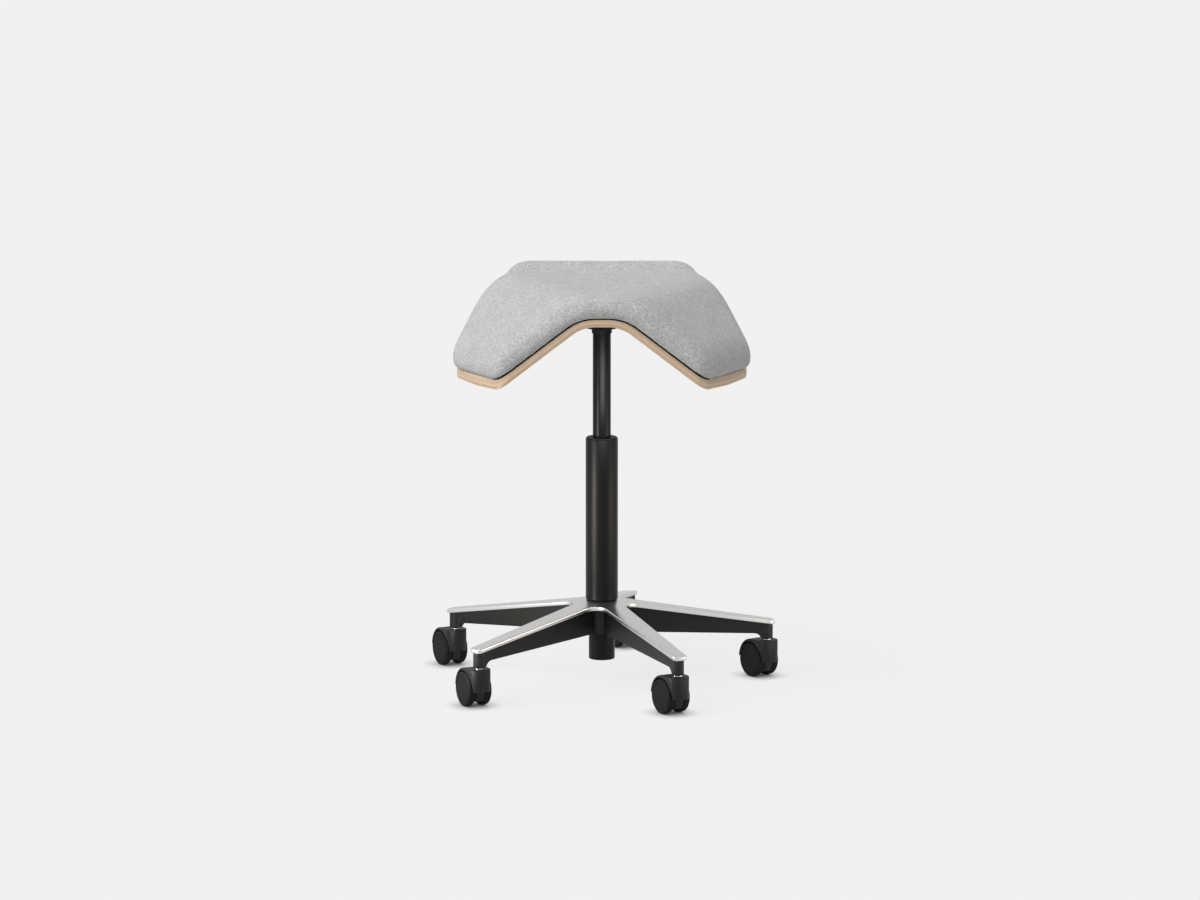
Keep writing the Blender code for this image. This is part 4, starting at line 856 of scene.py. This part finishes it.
def makeSeatPly():
    s = seat
    shell = platePiece("seatPly", [(x, y, 0) for x, y in seatOutline()], (0, 0, -s["ply"]))
    openEdit(shell, "EDGE")
    selectEdges(shell, lambda edge: all(abs(v.co.z) < 1e-6 for v in edge.verts))
    bpy.ops.mesh.bevel(offset=s["topEdge"], segments=5, affect="EDGES", clamp_overlap=True)
    bpy.ops.mesh.select_all(action="DESELECT")
    selectEdges(shell, lambda edge: all(abs(v.co.z + s["ply"]) < 1e-6 for v in edge.verts))
    bpy.ops.mesh.bevel(offset=s["plyEdge"], segments=5, affect="EDGES", clamp_overlap=True)
    for start, normal in foldLines():
        bpy.ops.mesh.select_all(action="SELECT")
        bpy.ops.mesh.bisect(plane_co=start, plane_no=normal, threshold=1e-5)
    mesh = bmesh.from_edit_mesh(shell.data)
    depth = mesh.verts.layers.float.new("plyDepth")
    for vert in mesh.verts:
        vert[depth] = -vert.co.z / s["ply"]
        vert.co.z = seatHeight(vert.co.x, vert.co.y, vert.co.z)
    bmesh.update_edit_mesh(shell.data)
    bpy.ops.mesh.select_all(action="SELECT")
    bpy.ops.mesh.quads_convert_to_tris()
    closeEdit()
    shade(shell, 30)
    return shell


finishPiece(makeSeatPly(), oakPly, "plywood", "seat", "seat_shell")
print("seat shell made")

# seat pad: felt over foam, blown up from the foam's own shape

pad = {
    "grow": 0.0021, "voxel": 0.0045, "smooth": 2, "pressure": 4.0, "frames": 20, "reach": 0.0012,
    "rimFront": 0.0013, "rimSide": -0.0016, "underside": 0.0012, "rimZone": 0.007, "rimBand": 0.012,
    "insetFront": 0.0022, "insetSide": 0.0008, "bulge": 0.0084, "roundTop": 0.0145, "roundness": 1.4,
    "frontFrom": 0.55, "frontSpan": 0.35, "thickest": 0.09, "stretch": 25, "bending": 2,
}


def overPly(place):
    # distance of a point from the shell's top, measured along the offset surfaces
    low, high = 0.0, pad["thickest"]
    for _ in range(24):
        middle = (low + high) / 2
        if seatHeight(place.x, place.y, middle) < place.z:
            low = middle
        else:
            high = middle
    return low


def pastOutline(x, y, outline):
    # how far a point lies outside the outline, and the way out
    found = (9.0, 0.0, 0.0)
    for (ax, ay), (bx, by) in zip(outline, outline[1:] + outline[:1]):
        long = math.hypot(bx - ax, by - ay)
        if long < 1e-7:
            continue
        dx, dy = (bx - ax) / long, (by - ay) / long
        along = min(max((x - ax) * dx + (y - ay) * dy, 0), long)
        gap = math.hypot(x - ax - along * dx, y - ay - along * dy)
        if gap < abs(found[0]):
            side = (x - ax) * dy - (y - ay) * dx
            found = (math.copysign(gap, side), dy, -dx)
    return found


def makeSeatPad():
    foam = meshCopy(nodes["cushion_foam"], "seatPad")
    openEdit(foam)
    bpy.ops.mesh.select_all(action="SELECT")
    bpy.ops.mesh.remove_doubles(threshold=1e-6)
    closeEdit()
    modify(foam, "DISPLACE", strength=pad["grow"], mid_level=0.0)
    modify(foam, "REMESH", mode="VOXEL", voxel_size=pad["voxel"], use_smooth_shade=True)
    modify(foam, "SMOOTH", factor=0.5, iterations=pad["smooth"])
    rest = [vert.co.copy() for vert in foam.data.vertices]
    normals = [vert.normal.copy() for vert in foam.data.vertices]
    cloth = foam.modifiers.new("cloth", "CLOTH")
    cloth.settings.use_pressure = True
    cloth.settings.uniform_pressure_force = pad["pressure"]
    cloth.settings.effector_weights.gravity = 0
    cloth.settings.tension_stiffness = pad["stretch"]
    cloth.settings.compression_stiffness = pad["stretch"]
    cloth.settings.bending_stiffness = pad["bending"]
    cloth.point_cache.frame_start = 1
    cloth.point_cache.frame_end = pad["frames"]
    for step in range(1, pad["frames"] + 1):
        bpy.context.scene.frame_set(step)
    pick(foam)
    bpy.ops.object.modifier_apply(modifier=cloth.name)
    bpy.context.scene.frame_set(1)
    for vert, place, normal in zip(foam.data.vertices, rest, normals):
        swell = (vert.co - place).dot(normal)
        vert.co = place + normal * min(max(swell, 0.0), pad["reach"])
    modify(foam, "SMOOTH", factor=0.5, iterations=1)
    # the lower side rounds in to the shell's edge, and the underside lies flat on the board
    outline = seatOutline()
    heights = [overPly(vert.co) for vert in foam.data.vertices]
    lowest = sorted(heights)[len(heights) // 20]
    for vert, height in zip(foam.data.vertices, heights):
        if height > pad["roundTop"]:
            continue
        past, outX, outY = pastOutline(vert.co.x, vert.co.y, outline)
        frontShare = min(max((-outY - pad["frontFrom"]) / pad["frontSpan"], 0), 1)
        rim = pad["rimSide"] + frontShare * (pad["rimFront"] - pad["rimSide"])
        nearRim = min(max(1 + past / pad["rimBand"], 0), 1)
        low = pad["underside"] + nearRim * (rim - pad["underside"])
        share = max(height - lowest, 0.0) / (pad["rimZone"] - lowest)
        if share < 1:
            height = low + share * (pad["rimZone"] - low)
        curve = min(max(1 - height / pad["roundTop"], 0), 1)
        inset = pad["insetSide"] + frontShare * (pad["insetFront"] - pad["insetSide"])
        over = past - (pad["bulge"] * (1 - curve ** pad["roundness"]) - inset)
        if over > 0:
            vert.co.x -= outX * over
            vert.co.y -= outY * over
        vert.co.z = seatHeight(vert.co.x, vert.co.y, height)
    modify(foam, "SUBSURF", levels=1, render_levels=1)
    shade(foam, 60)
    return foam


seatPad = finishPiece(makeSeatPad(), felt, "felt", "seat", "cushion_cover", "cushion_foam")
print("seat pad made:", len(seatPad.data.vertices), "points")

# plate, fasteners and release under the seat, eased copies of the CAD solids

easedCopies = (
    # the plate under the seat takes the darker paint, which is painted shade
    ("seat_plate", "seatPlate", 0.0006, "shadedHousingPaint", "black_metal"),
    ("release_lever", "releaseLever", 0.0006, "brightSteel", "steel"),
    ("lever_grip", "leverGrip", 0.0016, "castorPlastic", "black_plastic"),
    *((f"plate_screw_{count}", f"plateScrew{count}", 0.0004, "brightSteel", "steel")
      for count in range(1, 5)),
)
for nodeName, name, width, look, slotName in easedCopies:
    piece = softCopy(nodeName, name, width)
    shade(piece, 35)
    finishPiece(piece, finish[look], slotName, nodes[nodeName]["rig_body"], nodeName)
print("release and plate made")

# the CAD nodes that stay take their finish here

keptLooks = {
    "cushion_board": ("darkBoard", "black_board"), "bump_stop": ("softRubber", "rubber"),
    "piston_ring": ("softRubber", "rubber"), "bearing_cage": ("bushPlastic", "black_plastic"),
    "rod_gland": ("bushPlastic", "black_plastic"), "piston": ("blackTubePaint", "black_metal"),
}
for nodeName, node in nodes.items():
    if node.hide_render:
        continue
    look, slotName = keptLooks.get(nodeName, ("brightSteel", "steel"))
    node.data.materials.clear()
    node.data.materials.append(finish[look])

# floor, light and camera

studio = {
    # the reach of the painted contact shadow on the floor's emission is set here
    "paleTone": 0.878, "bounceTone": 0.60, "glowShare": 0.90, "paintedShadeReach": 0.025, "worldLevel": 0.39,
    "sun": {"towards": (-0.534, -0.394, 0.750), "strength": 2.47, "angle": 60},
    "softBox": {"distance": 3.0, "size": 3.4, "bright": 0.40},   # what reflections see of the key light
    "floorSize": 90, "floorDrop": 0.0002,
    "camera": {"place": (-0.002785, -8.52869, 1.85727), "down": 0.173, "sensor": 36.0, "lens": 168.14,
               "clip": (0.1, 200)},
    "panels": (
        # name, place, width, height, brightness, warmth; they show in reflections only
        ("lowLeftPanel", (-0.41, -0.29, 0.215), 0.11, 0.29, 31.0, 0.05),
        ("rightPanel", (0.93, -0.37, 0.12), 0.60, 0.24, 6.0, 0.12),
        ("frontPanel", (0.024, -0.15, 0.452), 0.15, 0.104, 12.0, -0.02),
    ),
}


def pathMask(tree, *kinds):
    path = tree.nodes.new("ShaderNodeLightPath")
    mask = path.outputs[f"Is {kinds[0]} Ray"]
    for kind in kinds[1:]:
        mask = mathNode(tree, "MAXIMUM", mask, path.outputs[f"Is {kind} Ray"])
    return mask


def makeFloor():
    bpy.ops.object.select_all(action="DESELECT")
    bpy.ops.mesh.primitive_plane_add(size=studio["floorSize"], location=(0, 0, -studio["floorDrop"]))
    floor = bpy.context.object
    floor.name = "studioFloor"
    material = bpy.data.materials.new("paleFloor")
    material.use_nodes = True
    tree = material.node_tree
    tree.nodes.remove(tree.nodes["Principled BSDF"])
    seen = pathMask(tree, "Camera", "Glossy", "Transmission")
    tone = rangeNode(tree, seen, 0, 1, studio["bounceTone"], studio["paleTone"])
    matt = addNode(tree, "ShaderNodeBsdfDiffuse")
    tree.links.new(tone, matt.inputs["Color"])
    # the floor's emission is darkened near the object by ambient occlusion: a painted contact shadow
    paintedContactShade = addNode(tree, "ShaderNodeAmbientOcclusion", Distance=studio["paintedShadeReach"])
    glow = rangeNode(tree, paintedContactShade.outputs["AO"], 0, 1, 0, studio["paleTone"])
    lit = addNode(tree, "ShaderNodeEmission", Color=(1, 1, 1, 1))
    tree.links.new(glow, lit.inputs["Strength"])
    mix = tree.nodes.new("ShaderNodeMixShader")
    tree.links.new(mathNode(tree, "MULTIPLY", seen, studio["glowShare"]), mix.inputs[0])
    tree.links.new(matt.outputs[0], mix.inputs[1])
    tree.links.new(lit.outputs[0], mix.inputs[2])
    tree.links.new(mix.outputs[0], tree.nodes["Material Output"].inputs["Surface"])
    floor.data.materials.append(material)


def makeWorld():
    world = bpy.data.worlds.new("studioWorld")
    bpy.context.scene.world = world
    world.use_nodes = True
    tree = world.node_tree
    seen = pathMask(tree, "Camera", "Glossy", "Transmission")
    level = rangeNode(tree, seen, 0, 1, studio["worldLevel"], studio["paleTone"])
    back = tree.nodes["Background"]
    back.inputs["Color"].default_value = (1, 1, 1, 1)
    tree.links.new(level, back.inputs["Strength"])


def placeLamp(light, place, aim):
    lamp = bpy.data.objects.new(light.name, light)
    bpy.context.scene.collection.objects.link(lamp)
    lamp.location = place
    towards = lamp.location.copy()
    towards.x, towards.y, towards.z = (b - a for a, b in zip(place, aim))
    lamp.rotation_euler = towards.to_track_quat("-Z", "Y").to_euler()
    lamp.visible_camera = False
    return lamp


def makeLamps():
    sun = bpy.data.lights.new("keySun", "SUN")
    sun.energy = studio["sun"]["strength"]
    sun.angle = math.radians(studio["sun"]["angle"])
    box = studio["softBox"]
    keyPlace = [box["distance"] * part for part in studio["sun"]["towards"]]
    placeLamp(sun, keyPlace, (0, 0, 0)).visible_glossy = False
    glow = bpy.data.lights.new("softBox", "AREA")
    glow.size = box["size"]
    glow.energy = box["bright"] * math.pi * box["size"] ** 2
    placeLamp(glow, keyPlace, (0, 0, 0)).visible_diffuse = False
    for name, place, width, height, bright, warmth in studio["panels"]:
        panel = bpy.data.lights.new(name, "AREA")
        panel.shape = "RECTANGLE"
        panel.size = width
        panel.size_y = height
        panel.energy = bright * math.pi * width * height
        panel.color = grey(1.0, warmth)[:3]
        placeLamp(panel, place, (0, 0, place[2])).visible_diffuse = False


def makeCamera():
    view = studio["camera"]
    data = bpy.data.cameras.new("photoCamera")
    data.sensor_width = view["sensor"]
    data.lens = view["lens"]
    data.clip_start, data.clip_end = view["clip"]
    camera = bpy.data.objects.new("photoCamera", data)
    bpy.context.scene.collection.objects.link(camera)
    camera.location = view["place"]
    camera.rotation_euler = (math.pi / 2 - view["down"], 0, 0)
    bpy.context.scene.camera = camera


makeFloor()
makeWorld()
makeLamps()
makeCamera()
bpy.context.scene.view_settings.view_transform = "Standard"
print("studio made")
